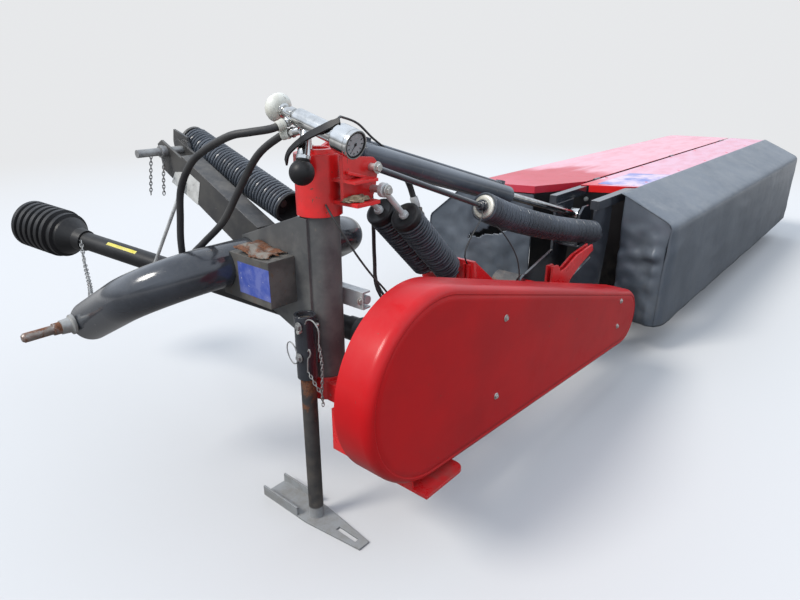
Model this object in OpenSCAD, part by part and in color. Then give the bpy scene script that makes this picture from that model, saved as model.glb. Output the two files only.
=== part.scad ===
// Side-hung disc mower with a belt drive, for the rear three-point hitch of a tractor.
// It stands parked on its stand leg and on the skids of its cutter bar.
// Sizes are in millimetres. X runs along the cutter bar, Y forward to the tractor, Z up.
// Every module is laid out from the axis of the pivot post, at ground level.

/* [Pivot post] */
// Outer diameter of the fixed post tube
post_d = 108; // [96:1:120]
// Diameter of the shaft that turns in the post
shaft_d = 90; // [80:1:94]
// Height of the post tube's lower end
post_low = 470; // [450:1:490]
// Length of the post tube
post_len = 470; // [440:1:500]
// Height of the swing head above the post
head_h = 160; // [150:1:200]
// Outer diameter of the swing head
head_d = 124; // [118:1:136]

/* [Hitch yoke] */
// Outer diameter of the bent yoke tube
yoke_d = 127; // [115:1:135]
// Wall of the yoke tube
yoke_wall = 8; // [5:1:12]
// Distance of the yoke's crossing tube in front of the post
yoke_y = 260; // [245:1:280]
// Height of the yoke's crossing tube
yoke_z = 775; // [760:1:790]
// Centre of the left arm, to the left of the post
arm_left = 376; // [350:1:400]
// Centre of the right arm, to the right of the post
arm_right = 450; // [430:1:480]
// Bend radius of the yoke tube
bend_r = 200; // [170:1:230]
// Length of each arm from the crossing tube to its hitch pin
arm_len = 428; // [400:1:460]
// Slope of the arms below the level, in degrees
arm_slope = 27; // [20:1:34]
// Diameter of the lower hitch pins
pin_d = 28.4; // [22:0.1:36.6]
// Free length of a lower hitch pin, from the arm
pin_len = 146; // [130:1:170]

/* [Top link mast] */
// Width across the two side plates of the mast
mast_w = 66; // [60:1:80]
// Distance of the top link pin in front of the post
mast_tip_y = 705; // [670:1:740]
// Height of the top link pin
mast_tip_z = 1050; // [1020:1:1080]
// Diameter of the top link pin
top_pin_d = 25.4; // [19:0.1:31.8]
// Outer diameter of the mast spring
mast_spring_d = 105; // [90:1:115]
// Length of the mast spring's coils
mast_spring_len = 520; // [460:1:560]

/* [Drive shaft] */
// Outer diameter of the drive shaft's guard tube
guard_d = 72; // [64:1:80]
// Length of the guard tube
guard_len = 1425; // [1350:1:1480]
// Radius of the guard's front cone
cone_r = 98; // [85:1:105]
// Length of the guard's front cone
cone_len = 290; // [250:1:320]

/* [Stand] */
// Diameter of the stand's leg
leg_d = 45; // [38:1:50]
// Outer diameter of the stand's sleeve
sleeve_d = 60; // [56:1:66]
// Outer diameter of the hydraulic hoses
hose_d = 20; // [16:0.5:22]
// Length of the stand's foot
foot_len = 410; // [340:1:440]
// Width of the stand's foot
foot_w = 90; // [70:1:110]

/* [Boom and belt cover] */
// Height of the axis on which the mower tilts
pivot_z = 360; // [350:1:370]
// Distance of that axis to the right of the post
pivot_x = 1260; // [1230:1:1280]
// Radius of the belt cover's big end
cover_r = 255; // [235:1:265]
// Radius of the belt cover's small end
cover_tip_r = 118; // [105:1:130]
// Depth of the belt cover from rear face to front edge
cover_depth = 110; // [90:1:118]
// Wall of the belt cover
cover_wall = 4; // [3:0.5:6]

/* [Cutter bar] */
// Number of discs
disc_count = 7; // [7:1:7]
// Distance between neighbouring disc axes
disc_pitch = 425; // [420:1:440]
// Length of a disc
disc_len = 360; // [330:1:380]
// Width of a disc
disc_w = 250; // [220:1:260]
// Radius of the circle that the knife tips run on
knife_r = 250; // [235:1:255]
// Thickness of the cutter bar
bar_h = 55; // [45:1:56]
// Depth of the cutter bar from front to rear
bar_w = 300; // [260:1:320]

/* [Guard and curtains] */
// Height of the guard's flat top
deck_z = 762; // [740:1:780]
// Distance from the post to the outer end of the guard
deck_end = 4745; // [4700:1:4780]
// Thickness of the sheet panels
sheet = 4; // [3:0.5:6]
// Thickness of the curtains
cloth = 4; // [3:0.5:6]
// Height of the curtains' lower hem above the ground
hem_z = 150; // [110:1:200]
// Distance of the rear curtain's upright face behind the post
curtain_y = 435; // [420:1:444]

/* [Lift] */
// Distance of the lift cylinder's base pin to the right of the post
base_x = 100; // [94:1:104]
// Outer diameter of the lift cylinder
barrel_d = 70; // [60:1:76]
// Length of the lift cylinder's barrel
barrel_len = 905; // [860:1:920]
// Diameter of the lift cylinder's rod
lift_rod_d = 32; // [25:1:40]
// Outer diameter of the long suspension spring
long_spring_d = 100; // [90:1:108]
// Outer diameter of the short suspension springs
short_spring_d = 90; // [80:1:96]

/* [Hidden] */
$fn = 48;

// A seat where a curved piece rests on another, and a running fit round a pin or shaft
seat = 0.3;
fit = 0.05;
// The smallest free space between pieces that move past each other
clear = 6;

post_r = post_d / 2;
post_top = post_low + post_len;
shaft_r = shaft_d / 2;
head_r = head_d / 2;
head_low = post_top + seat;
head_top = head_low + head_h;
yoke_r = yoke_d / 2;
pin_r = pin_d / 2;
pin_sleeve_r = pin_r + 4.1;
slope_in = cos(arm_slope);
slope_down = sin(arm_slope);
pin_y = yoke_y + arm_len * slope_in;
pin_z = yoke_z - arm_len * slope_down;

// The drive shaft's axis runs from its rear joint to its front joint
shaft_rear = [232, -30, 494];
shaft_dir_raw = [-320, 1310, 150];
shaft_dir = shaft_dir_raw / norm(shaft_dir_raw);
cone_start = guard_len + 10;
cone_end = cone_start + cone_len;
cone_tip = shaft_rear + shaft_dir * cone_end;

// The belt cover, seen from behind: a big and a small circle joined by straight edges
cover_x = -20;
cover_z = 573;
cover_back = 430;
cover_front = cover_back - cover_depth;
cover_tip = [pivot_x - 20, pivot_z - 5];

// The row of discs
bar_low = 30;
bar_top = bar_low + bar_h;
bar_y = 180;
disc_y = 180;
disc_first = 1860;
disc_z = bar_top + 8;

plate_back = 450;
skid_r = 150;

// The middle of the whole machine's box on the ground is the origin
row_x = (deck_end - arm_left - yoke_r - pin_len) / 2;
reach_y = cone_tip.y + cone_r * sqrt(1 - shaft_dir.y * shaft_dir.y);
row_y = (reach_y - plate_back) / 2;
module from_post() translate([-row_x, -row_y, 0]) children();

// Places what is drawn along +Z from a, pointing to b
module along(a, b) {
    d = b - a;
    translate(a) rotate([0, acos(d.z / norm(d)), atan2(d.y, d.x)]) children();
}
module rod(a, b, r) along(a, b) cylinder(h = norm(b - a), r = r);
// A cylinder along Y from y0 to y1
module across(x, z, y0, y1, r) translate([x, y0, z]) rotate([-90, 0, 0]) cylinder(h = y1 - y0, r = r);
// An outline in X and Z, given thickness along Y from y0 to y1
module sheet_xz(y0, y1) translate([0, y1, 0]) rotate([90, 0, 0]) linear_extrude(height = y1 - y0) children();
// An outline in Y and Z, given thickness along X from x0 to x1
module sheet_yz(x0, x1)
    translate([x0, 0, 0]) rotate([90, 0, 90]) linear_extrude(height = x1 - x0) children();
// Two circles joined by their outer tangents
module teardrop(p, r, q, s) {
    d = q - p;
    base = atan2(d.y, d.x);
    lean = acos((r - s) / norm(d));
    up = base + lean;
    down = base - lean;
    translate(p) circle(r = r);
    translate(q) circle(r = s);
    polygon([p + r * [cos(up), sin(up)], p + r * [cos(down), sin(down)],
        q + s * [cos(down), sin(down)], q + s * [cos(up), sin(up)]]);
}
// A close-wound spring as one turned body with a ridge for each turn
module coil(length, outer, turns, bore) {
    step = length / turns;
    depth = step * 0.45;
    rotate_extrude() polygon(concat([[bore, 0]],
        [for (i = [0 : turns - 1], k = [0 : 2])
            [outer - (k == 1 ? 0 : depth), (i + 0.15 + k * 0.35) * step]],
        [[bore, length]]));
}

function path_at(p, t) = let(k = min(floor(t), len(p) - 2)) p[k] + (p[k + 1] - p[k]) * (t - k);
// A smooth curve through the points of a route, with two steps a span
function bend_at(p, i, t) = let(a = p[max(i - 1, 0)], b = p[i], c = p[i + 1], d = p[min(i + 2, len(p) - 1)])
    0.5 * (2 * b + (c - a) * t + (2 * a - 5 * b + 4 * c - d) * t * t + (3 * b - a - 3 * c + d) * t * t * t);
function smooth(p) = concat([for (i = [0 : len(p) - 2], t = [0, 0.5]) bend_at(p, i, t)], [p[len(p) - 1]]);
// A ring of n points round c, square to d, with one point at right angles to the aim
function ring(c, d, r, n, aim) = let(side = cross(d, aim) / norm(cross(d, aim)), up = cross(side, d) / norm(d))
    [for (k = [0 : n - 1]) c + r * (cos(360 * k / n) * side + sin(360 * k / n) * up)];
// A closed body through rings with the given centres and radii
module swept(centres, radii, n, aim) {
    m = len(centres);
    rings = [for (i = [0 : m - 1])
        ring(centres[i], centres[min(i + 1, m - 1)] - centres[max(i - 1, 0)], radii[i], n, aim)];
    polyhedron(points = [for (g = rings) each g],
        faces = concat([[for (k = [n - 1 : -1 : 0]) k]], [[for (k = [0 : n - 1]) (m - 1) * n + k]],
            [for (i = [0 : m - 2], k = [0 : n - 1])
                [i * n + k, i * n + (k + 1) % n, (i + 1) * n + (k + 1) % n, (i + 1) * n + k]]));
}
// A hose along its route, and the fitting of a given length that it starts from
hose_r = hose_d / 2;
module hose(route, aim) color("#1d1d1f") from_post() let(c = smooth(route)) swept(c, [for (q = c) hose_r], 10, aim);
module fitting(route, long) let(c = smooth(route), d = (c[1] - c[0]) / norm(c[1] - c[0]))
    rod(c[0] - d * long, c[0] - d * seat, hose_r + 1);
function turned(p) = [for (i = [len(p) - 1 : -1 : 0]) p[i]];

// Two hoses run from the accumulator to their holder on the yoke, a third from the head to the boom
route_a = [[-86, 16, 1178], [-122, 26, 1166], [-160, 64, 1158], [-184, 115, 1147], [-190, 220, 1106],
    [-196, 290, 1062], [-201, 345, 989], [-202, 366, 905], [-204, 376, 840], [-204, 377, 775]];
route_b = [[-76, 10, 1154], [-88, 42, 1142], [-108, 110, 1092], [-126, 180, 996], [-149, 233, 908],
    [-170, 306, 841], [-187.8, 346.9, 800], [-190, 352, 775]];
route_c = [[116, 48, 1051], [210, 52, 1048], [300, 58, 1032], [370, 60, 1014], [415, 57, 990], [438, 50, 950],
    [447, 38, 905], [453, 16, 855], [464, -14, 785], [470, -42, 720], [472, -60, 668]];
module hose_a() hose(route_a, [1, 0, 0]);
module hose_b() hose(route_b, [1, 0, 0]);
module hose_c() hose(route_c, [0, 1, 0]);

// Fixed headstock

module yoke_solid(r, extra) {
    translate([0, yoke_y, yoke_z]) rotate([-arm_slope, 0, 0]) {
        translate([-arm_left + bend_r, 0, 0]) rotate([0, 90, 0])
            cylinder(h = arm_left + arm_right - 2 * bend_r, r = r);
        translate([-arm_left + bend_r, bend_r, 0]) rotate([0, 0, 180])
            rotate_extrude(angle = 90) translate([bend_r, 0]) circle(r = r);
        translate([arm_right - bend_r, bend_r, 0]) rotate([0, 0, 270])
            rotate_extrude(angle = 90) translate([bend_r, 0]) circle(r = r);
        for (x = [-arm_left, arm_right]) translate([x, bend_r, 0]) rotate([-90, 0, 0])
            cylinder(h = arm_len - bend_r + extra, r = r);
    }
}

// The arms reach past their pins and end in rounded caps
arm_past = 36;
arm_cap = 12;
holder_z = 742;
socket_low = holder_z - 14;
// The hoses' holder: a plate in front of the crossing tube, welded on by its narrow tongue
holder_plate = [[-230, 332], [-172, 332], [-172, 311], [-135, 311], [-135, 391], [-230, 391]];
module socket(p) translate([p.x, p.y, socket_low]) cylinder(h = p.z - seat - socket_low, r = hose_r + 1);
module hitch_yoke() color("#2b2c30") from_post() {
    difference() {
        union() {
            yoke_solid(yoke_r, arm_past);
            for (x = [-arm_left, arm_right]) translate([0, yoke_y, yoke_z]) rotate([-arm_slope, 0, 0])
                translate([x, arm_len + arm_past, 0]) rotate([-90, 0, 0])
                    cylinder(h = arm_cap, r1 = yoke_r, r2 = yoke_r - arm_cap);
        }
        yoke_solid(yoke_r - yoke_wall, arm_past - 6);
        for (x = [-arm_left, arm_right]) translate([x - yoke_r * 2, pin_y, pin_z]) rotate([0, 90, 0])
            cylinder(h = yoke_r * 4, r = pin_sleeve_r + seat);
    }
    translate([0, 0, holder_z]) linear_extrude(height = 6) polygon(holder_plate);
    for (route = [route_a, route_b]) socket(route[len(route) - 1]);
}

// A lower hitch pin: a thick root through the arm, then the pin that the tractor's link takes
module lower_pin(x) from_post() translate([x, pin_y, pin_z]) rotate([0, -90, 0]) {
    translate([0, 0, -yoke_r - 6]) cylinder(h = 2 * yoke_r + 6 + pin_len * 0.42, r = pin_sleeve_r);
    translate([0, 0, yoke_r + pin_len * 0.42]) cylinder(h = pin_len * 0.58 - 6, r = pin_r);
    translate([0, 0, yoke_r + pin_len - 6]) cylinder(h = 6, r1 = pin_r, r2 = pin_r - 5);
    translate([0, 0, -yoke_r - 14]) cylinder(h = 8, r = pin_sleeve_r + 8);
}
module left_lower_pin() color("#6b5248") lower_pin(-arm_left);
module right_lower_pin() color("#6b5248") lower_pin(arm_right);

plate_t = 10;
plate_x = post_r - 4;
// The post with the two side plates that hold it to the yoke
module pivot_post() color("#3a3b3f") from_post() difference() {
    union() {
        translate([0, 0, post_low]) cylinder(h = post_len, r = post_r);
        for (x = [-plate_x - plate_t, plate_x]) sheet_yz(x, x + plate_t)
            polygon([[-12, post_top - 4], [30, post_top - 4], [yoke_y + 20, yoke_z + yoke_r + 6],
                [yoke_y + 20, yoke_z - yoke_r - 30], [60, post_low + 130], [-12, post_low + 130]]);
    }
    translate([0, 0, post_low - 1]) cylinder(h = post_len + 2, r = shaft_r);
    translate([-200, yoke_y, yoke_z]) rotate([0, 90, 0]) cylinder(h = 400, r = yoke_r + seat);
}

box_left = 150;
box_rear = 45;
module post_box() color("#4a4844") from_post() difference() {
    translate([-box_left, box_rear, yoke_z - 82])
        cube([box_left - plate_x - plate_t, yoke_y - box_rear, 132]);
    translate([-box_left + 5, box_rear + 5, yoke_z - 83])
        cube([box_left - plate_x - plate_t - 10, yoke_y - box_rear, 128]);
    translate([-200, yoke_y, yoke_z]) rotate([0, 90, 0]) cylinder(h = 400, r = yoke_r + seat);
}

// The mast is a folded channel, open below, deeper towards its tip
mast_root = [yoke_y - 6, yoke_z + yoke_r + 20];
module mast_side() polygon([[mast_root.x - 14, yoke_z + 10], [mast_root.x - 14, mast_root.y + 8],
    [mast_tip_y + 22, mast_tip_z + 34], [mast_tip_y + 48, mast_tip_z + 20], [mast_tip_y + 30, mast_tip_z - 62],
    [mast_tip_y - 70, mast_tip_z - 112], [yoke_y + 70, yoke_z + 10]]);
mast_t = 8;
boss_w = 11.5;
module top_link_mast() color("#2f3036") from_post() difference() {
    union() {
        for (x = [-mast_w / 2, mast_w / 2 - mast_t]) sheet_yz(x, x + mast_t) mast_side();
        sheet_yz(-mast_w / 2, mast_w / 2) polygon([[mast_root.x - 14, mast_root.y],
            [mast_root.x - 14, mast_root.y + 8], [mast_tip_y - 90, mast_tip_z - 8],
            [mast_tip_y - 90, mast_tip_z - 16]]);
        spring_eye();
    }
    translate([-200, yoke_y, yoke_z]) rotate([0, 90, 0]) cylinder(h = 400, r = yoke_r + seat);
    translate([-200, mast_tip_y, mast_tip_z]) rotate([0, 90, 0]) cylinder(h = 400, r = top_pin_d / 2 + seat);
}

module top_link_pin() color("#9a9a96") from_post() translate([0, mast_tip_y, mast_tip_z]) {
    translate([-mast_w / 2 - 100, 0, 0]) rotate([0, 90, 0]) cylinder(h = mast_w + 100 + boss_w, r = top_pin_d / 2);
    translate([-mast_w / 2 - 10, 0, 0]) rotate([0, 90, 0]) cylinder(h = 9.7, r = top_pin_d / 2 + 5);
}

// The mast spring lies beside the mast, from an eye at its tip to a lug on the yoke
spring_x = mast_w / 2 + mast_spring_d / 2 + 12;
spring_far = [spring_x, mast_tip_y + 10, mast_tip_z + 10];
spring_near = [spring_x + 4, yoke_y - 10, yoke_z + yoke_r + 62];
spring_dir = (spring_far - spring_near) / norm(spring_far - spring_near);
module spring_eye() {
    translate([mast_w / 2 - 1, mast_tip_y, mast_tip_z]) rotate([0, 90, 0]) cylinder(h = boss_w + 1, r = 32);
    difference() {
        sheet_yz(mast_w / 2 + 4, mast_w / 2 + 12) polygon([[mast_tip_y - 30, mast_tip_z - 20],
            [mast_tip_y - 20, mast_tip_z + 40], [mast_tip_y + 60, mast_tip_z + 62],
            [mast_tip_y + 70, mast_tip_z + 20], [mast_tip_y + 30, mast_tip_z - 20]]);
        along(spring_near, spring_far) cylinder(h = mast_spring_len + 1, r = mast_spring_d / 2 + seat);
    }
    along(spring_near, spring_far) translate([0, 0, mast_spring_len + seat]) {
        cylinder(h = 10, r = mast_spring_d / 2 - 4);
        translate([-22, 0, 0]) cube([44, mast_spring_d / 2 + 8, 10]);
    }
    along(spring_near, spring_far) translate([0, 0, 30]) cylinder(h = mast_spring_len - 20, r = 12);
}
module mast_spring() color("#222327") from_post() along(spring_near, spring_far)
    coil(mast_spring_len, mast_spring_d / 2, 34, mast_spring_d / 2 - 14);

// The bent rest that carries the drive shaft when the machine is parked
rest_r = 6;
rest_top = [-mast_w / 2 - rest_r - 2 * seat, 607, 960];
rest_bend = [-62, 655, 862];
rest_seat = shaft_rear + shaft_dir * 980;
rest_low = rest_seat + [-guard_d / 2 - 20, 0, -guard_d / 2 - 4];
module pto_rest() color("#b9b9b2") from_post() difference() {
    union() {
        for (p = [rest_top, rest_bend, rest_low]) translate(p) sphere(r = rest_r + seat);
        rod(rest_top, rest_bend, rest_r);
        rod(rest_bend, rest_low, rest_r);
        rod(rest_low, rest_low + [guard_d + 20, 0, 0], rest_r);
    }
    along(shaft_rear, cone_tip) cylinder(h = guard_len, r = guard_d / 2 + seat);
}

// The drive shaft's guard: a tube with a plain cone at its rear
module pto_guard() color("#26262a") from_post() along(shaft_rear, cone_tip) {
    rotate_extrude() polygon([[guard_d / 2 - 4, 120], [guard_d / 2, 120], [guard_d / 2, cone_start],
        [guard_d / 2 - 4, cone_start]]);
    rotate_extrude() polygon([[guard_d / 2 - 4, 120], [guard_d / 2 - 4, 110], [66, 50], [70, 50],
        [guard_d / 2 + 4, 112], [guard_d / 2 + 4, 140], [guard_d / 2 - 4, 140]]);
    for (z = [125, cone_start - 30]) rotate_extrude() translate([22 + fit, z]) square([guard_d / 2 - 24, 14]);
}
// The guard's front cone sits on the tube with its collar; each of its ribs is a short flare
module pto_cone() color("#1c1c1e") from_post() along(shaft_rear, cone_tip) {
    root = guard_d / 2 + 6;
    ribs = 7;
    step = (cone_len - 50) / ribs;
    start = cone_start + 50;
    rotate_extrude() polygon(concat([[guard_d / 2 + seat, cone_start - 40], [root, cone_start - 40]],
        [[root + 4, cone_start], [cone_r - 22, start]],
        [for (i = [0 : ribs - 1], k = [0 : 2])
            [cone_r - (k == 0 ? 12 : 0) - (i == 0 ? 8 : 0), start + (i + [0.35, 0.5, 1][k]) * step]],
        [[cone_r - 20, cone_end], [cone_r - 30, start + 10], [guard_d / 2 + seat, cone_start + 2]]));
}

// The stand's sleeve hangs on a bracket at the left of the post
leg_x = -(post_r + sleeve_d / 2 + 7);
leg_y = -20;
sleeve_low = 490;
sleeve_len = 190;
module stand_sleeve() color("#33343a") from_post() difference() {
    union() {
        translate([leg_x, leg_y, sleeve_low]) cylinder(h = sleeve_len, r = sleeve_d / 2);
        translate([leg_x, leg_y - 6, sleeve_low + 30]) cube([-leg_x, 12, sleeve_len - 60]);
    }
    translate([leg_x, leg_y, sleeve_low - 1]) cylinder(h = sleeve_len + 2, r = leg_d / 2 + fit);
    translate([0, 0, post_low]) cylinder(h = post_len, r = post_r + seat);
}

// The break-back strut: a galvanised channel beside the post, with its spring
strut_x = plate_x + plate_t + 0.3;
strut_z = 690;
module strut() color("#a9abab") from_post() {
    difference() {
        translate([strut_x, -95, strut_z - 26]) cube([30, 250, 52]);
        translate([strut_x + 4, -96, strut_z - 21]) cube([27, 240, 42]);
    }
    translate([strut_x + 19, -96, strut_z]) rotate([-90, 0, 0]) {
        cylinder(h = 40, r = 13);
        cylinder(h = 97, r = 8);
        translate([0, 0, 96]) coil(150, 13, 12, 0);
    }
}

// Swing frame

module swing_shaft() color("#8f1d22") from_post()
    translate([0, 0, post_low - seat]) cylinder(h = head_low - post_low + seat, r = shaft_r - fit);

// The head's fork takes the lift cylinder; its rear lug and cross pin take the springs' rods
base_z = head_low + 160;
fork_in = 23.3;
lug_t = 12;
lug_back = 100;
pull_pin = [100, head_low + 65];
pull_pin_r = 10;
long_pin = [96, head_low + 122];
short_y = [-142, -48];
module swing_head() color("#c81f27") from_post() {
    difference() {
        union() {
            translate([0, 0, head_low]) cylinder(h = head_h, r = head_r);
            translate([0, 0, head_top]) cylinder(h = 12, r = head_r - 12);
            for (y = [-fork_in - lug_t, fork_in]) sheet_xz(y, y + lug_t)
                polygon([[20, head_low + 40], [base_x + 8, head_low + 60], [base_x + 26, base_z - 20],
                    [base_x + 20, base_z + 22], [base_x - 24, base_z + 24], [20, head_top]]);
            sheet_xz(-lug_back, -lug_back + lug_t) polygon([[-6, head_low + 34], [96, head_low + 34],
                [112, head_low + 56], [128, head_top - 34], [108, head_top - 14], [-6, head_top]]);
            translate([-6, -lug_back - 50, head_low + 34]) cube([84, lug_back, 10]);
            translate([-6, -lug_back - 44, head_low + 92]) cube([84, lug_back - 10, 8]);
        }
        translate([0, 0, head_top - 20]) cylinder(h = 60, r = head_r - 30);
        translate([64, -fork_in, head_low + 20]) cube([100, 2 * fork_in, 200]);
    }
    across(base_x, base_z, -fork_in - lug_t - 8, fork_in + lug_t + 8, 12.5 - fit);
    across(pull_pin.x, pull_pin.y, short_y[0] - 16, -fork_in - 1, pull_pin_r);
    across(long_pin.x, long_pin.y, -lug_back - 26, -lug_back + 20, pull_pin_r);
    fitting(route_c, 20);
    translate([90, fork_in + lug_t - 0.5, route_c[0].z - 12]) cube([22, 26, 24]);
}

bracket_low = post_low - 70;
beam_back = 270;
beam_front = 170;
beam_top = pivot_z + 70;
beam_low = pivot_z - 30;
beam_left = -50;
module swing_bracket() color("#c81f27") from_post() {
    translate([0, 0, bracket_low]) cylinder(h = 70 - seat, r = 58);
    translate([-42, -beam_front, bracket_low]) cube([84, beam_front - 20, 58]);
}

// The boom carries the belt drive out to the mower's tilting axis
hub_r = 62;
tube_r = 50;
tube_front = 64;
module boom_arm() color("#b81c24") from_post() {
    difference() {
        union() {
            translate([beam_left, -beam_back, beam_low])
                cube([pivot_x - beam_left, beam_back - beam_front, beam_top - beam_low]);
            across(pivot_x, pivot_z, -beam_back, -beam_front, hub_r);
        }
        translate([beam_left + 8, -beam_back + 8, beam_low + 8])
            cube([pivot_x - 90, beam_back - beam_front - 16, beam_top - beam_low - 16]);
    }
    across(pivot_x, pivot_z, -cover_front + 0.3, -beam_back, tube_r);
    across(pivot_x, pivot_z, -beam_front, tube_front, tube_r);
    boom_hooks();
    boom_lugs();
    boom_post();
    fitting(turned(route_c), 30);
    translate([pull_x + 11, -84, 630]) cube([36, 34, 24]);
}
// A triangular plate on the boom with two hooks for the lift lines
module boom_hooks() {
    for (y = [-beam_front - 30, -beam_front - 12]) sheet_xz(y, y + 8)
        polygon([[430, beam_top - 1], [760, beam_top - 1], [740, beam_top + 60], [700, beam_top + 120],
            [470, beam_top + 300], [430, beam_top + 300]]);
    for (h = [[690, 120], [732, 74]]) across(h.x, beam_top + h.y, -beam_front - 30, -beam_front - 4, 14);
}
// Two curved lugs by the tilting axis
module boom_lugs() for (y = [-226, -204]) sheet_xz(y, y + 8)
    polygon([[960, beam_top - 1], [1090, beam_top - 1], [1130, 505], [1210, 545], [1330, 586], [1320, 612],
        [1180, 598], [1090, 566], [1040, 560], [1010, 596], [966, 600]]);
// The post on the boom that the short springs pull on
pull_x = 440;
module boom_post() sheet_yz(pull_x, pull_x + 12) polygon([[-beam_back + 20, beam_top - 1],
    [-beam_front - 2, beam_top - 1], [-beam_front - 2, 620], [-6, 650], [-6, 720], [-30, 740],
    [-beam_back + 60, 740]]);

module belt_plate() color("#c81f27") from_post() {
    translate([0, 0, 288]) linear_extrude(height = 8) union() {
        translate([-90, -plate_back]) square([140, plate_back - 110]);
        translate([-90, -plate_back + 30]) square([170, plate_back - 140]);
        translate([50, -plate_back + 30]) circle(r = 30);
    }
    sheet_yz(-90, -82) polygon([[-110, 295], [-110, bracket_low + 20], [-130, bracket_low + 20], [-240, 330],
        [-400, 318], [-400, 295]]);
    translate([-88, -134, bracket_low - 12]) cube([88, 20, 12]);
}

// The belt cover: a shell with a rounded rear edge, its front closed by a flat plate
module cover_layer(y0, y1, cut) sheet_xz(y0, y1)
    teardrop([cover_x, cover_z], cover_r - cut, cover_tip, cover_tip_r - cut);
module belt_cover() color("#c4161d") from_post() difference() {
    hull() {
        cover_layer(-cover_back + 15, -cover_front, 0);
        cover_layer(-cover_back + 5, -cover_back + 6, 5);
        cover_layer(-cover_back, -cover_back + 1, 14);
    }
    cover_layer(-cover_back + cover_wall, -cover_front - cover_wall, cover_wall + 14);
}

// The housing of the input shaft sits on the boom, behind the drive shaft
input_x = 262;
input_z = 482;
module input_housing() color("#3b3c40") from_post() difference() {
    union() {
        across(input_x, input_z, -cover_front + 0.3, -150, 48);
        translate([input_x - 60, -beam_back + 10, beam_top]) cube([120, 80, 20]);
        across(input_x, input_z, -150, -108, 17.4);
        across(input_x, input_z, -cover_front + 0.3, -cover_front + 14, 64);
    }
    translate([input_x - 200, -400, beam_top - 200]) cube([400, 400, 200]);
}

// The two short springs pull the boom up towards the head's cross pin
short_rod = 118;
short_end = [400, 714];
module short_springs() color("#3c4146") from_post() for (y = short_y) {
    top = [pull_pin.x, y, pull_pin.y];
    end = [short_end.x, y, short_end.y];
    difference() {
        union() {
            across(pull_pin.x, pull_pin.y, y - 8, y + 8, 20);
            along(top, end) {
                translate([0, 0, 16]) cylinder(h = norm(end - top) + 90, r = 8);
                translate([0, 0, short_rod]) coil(norm(end - top) - short_rod, short_spring_d / 2, 17, 0);
            }
        }
        across(pull_pin.x, pull_pin.y, y - 9, y + 9, pull_pin_r + seat);
        translate([pull_x - seat, -400, 300]) cube([200, 500, 600]);
    }
}

// The long spring hangs in a curve between the head and the mower's inner frame
long_y = -lug_back - 10;
long_path = [[640, -112, 868], [760, -114, 820], [880, -118, 779], [1000, -122, 742], [1120, -128, 708],
    [1240, -134, 678], [1360, -142, 650], [1480, -152, 624]];
long_turns = 30;
// Its straight rod leaves the head's pin; its far end is hooked to the hinge plate's edge
module long_spring() color("#3f444a") from_post() {
    steps = 2 * long_turns;
    pin = [long_pin.x, long_y, long_pin.y];
    first = long_path[0];
    last = long_path[len(long_path) - 1];
    pull = (first - pin) / norm(first - pin);
    out = (last - long_path[len(long_path) - 2]) / norm(last - long_path[len(long_path) - 2]);
    tail = last + out * ((hinge_left - last.x) / out.x - 5);
    swept(concat([pin + pull * (pull_pin_r + seat), first - pull],
            [for (i = [0 : steps]) path_at(long_path, i * (len(long_path) - 1) / steps)],
            [last + out, tail]),
        concat([9, 9], [for (i = [0 : steps]) long_spring_d / 2 - (i % 2) * 6], [9, 9]), 16, [0, 0, 1]);
}

// The suspension's gas accumulator lies over the head, with its gauge behind and its shut-off lever below
acc_x = -60;
acc_b = [acc_x, -148, 1153];
acc_a = [acc_x, 99, 1219];
acc_r = 23;
gauge_r = 35;
module accumulator() color("#c9c9c4") from_post() {
    along(acc_b, acc_a) {
        cylinder(h = 150, r = acc_r);
        translate([0, 0, 149]) cylinder(h = 60, r = 14);
        translate([0, 0, 205]) cylinder(h = 28, r1 = 18, r2 = 37);
        translate([0, 0, 232]) cylinder(h = 23, r1 = 37, r2 = 24);
    }
    translate([-38, -10, head_top + 12 + seat]) cylinder(h = 62, r = 10);
    translate([acc_x - 4, -10, head_top + 68]) rotate([0, 90, 0]) cylinder(h = 28, r = 9);
    fitting(route_a, 26);
    fitting(route_b, 28);
}
module gauge() color("#d0d0cb") from_post() along(acc_b, acc_a) translate([0, 0, -56])
    cylinder(h = 56 - seat, r = gauge_r);
lever_top = [acc_x - 2, -37, 1174];
lever_ball = [-102, -56, 1066];
module lever() color("#26272b") from_post() difference() {
    union() {
        rod(lever_top, lever_ball, 14);
        translate(lever_ball) sphere(r = 32);
    }
    along(acc_b, acc_a) cylinder(h = 150, r = acc_r + seat);
}

// Mower

gear_x = pivot_x;
module drive_gearbox() color("#4b4b4d") from_post() difference() {
    union() {
        across(gear_x, pivot_z, tube_front + clear, 190, 66);
        translate([gear_x - 60, 80, bar_top - 1]) cube([150, 180, pivot_z - bar_top]);
        translate([gear_x - 80, 40, bar_low + 10]) cube([frame_x - 40 - gear_x + 80, 260, bar_top - bar_low - 10]);
        translate([gear_x + 89, 80, bar_top]) cube([frame_x - gear_x - 89, 160, 80]);
    }
}

frame_x = 1430;
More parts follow.
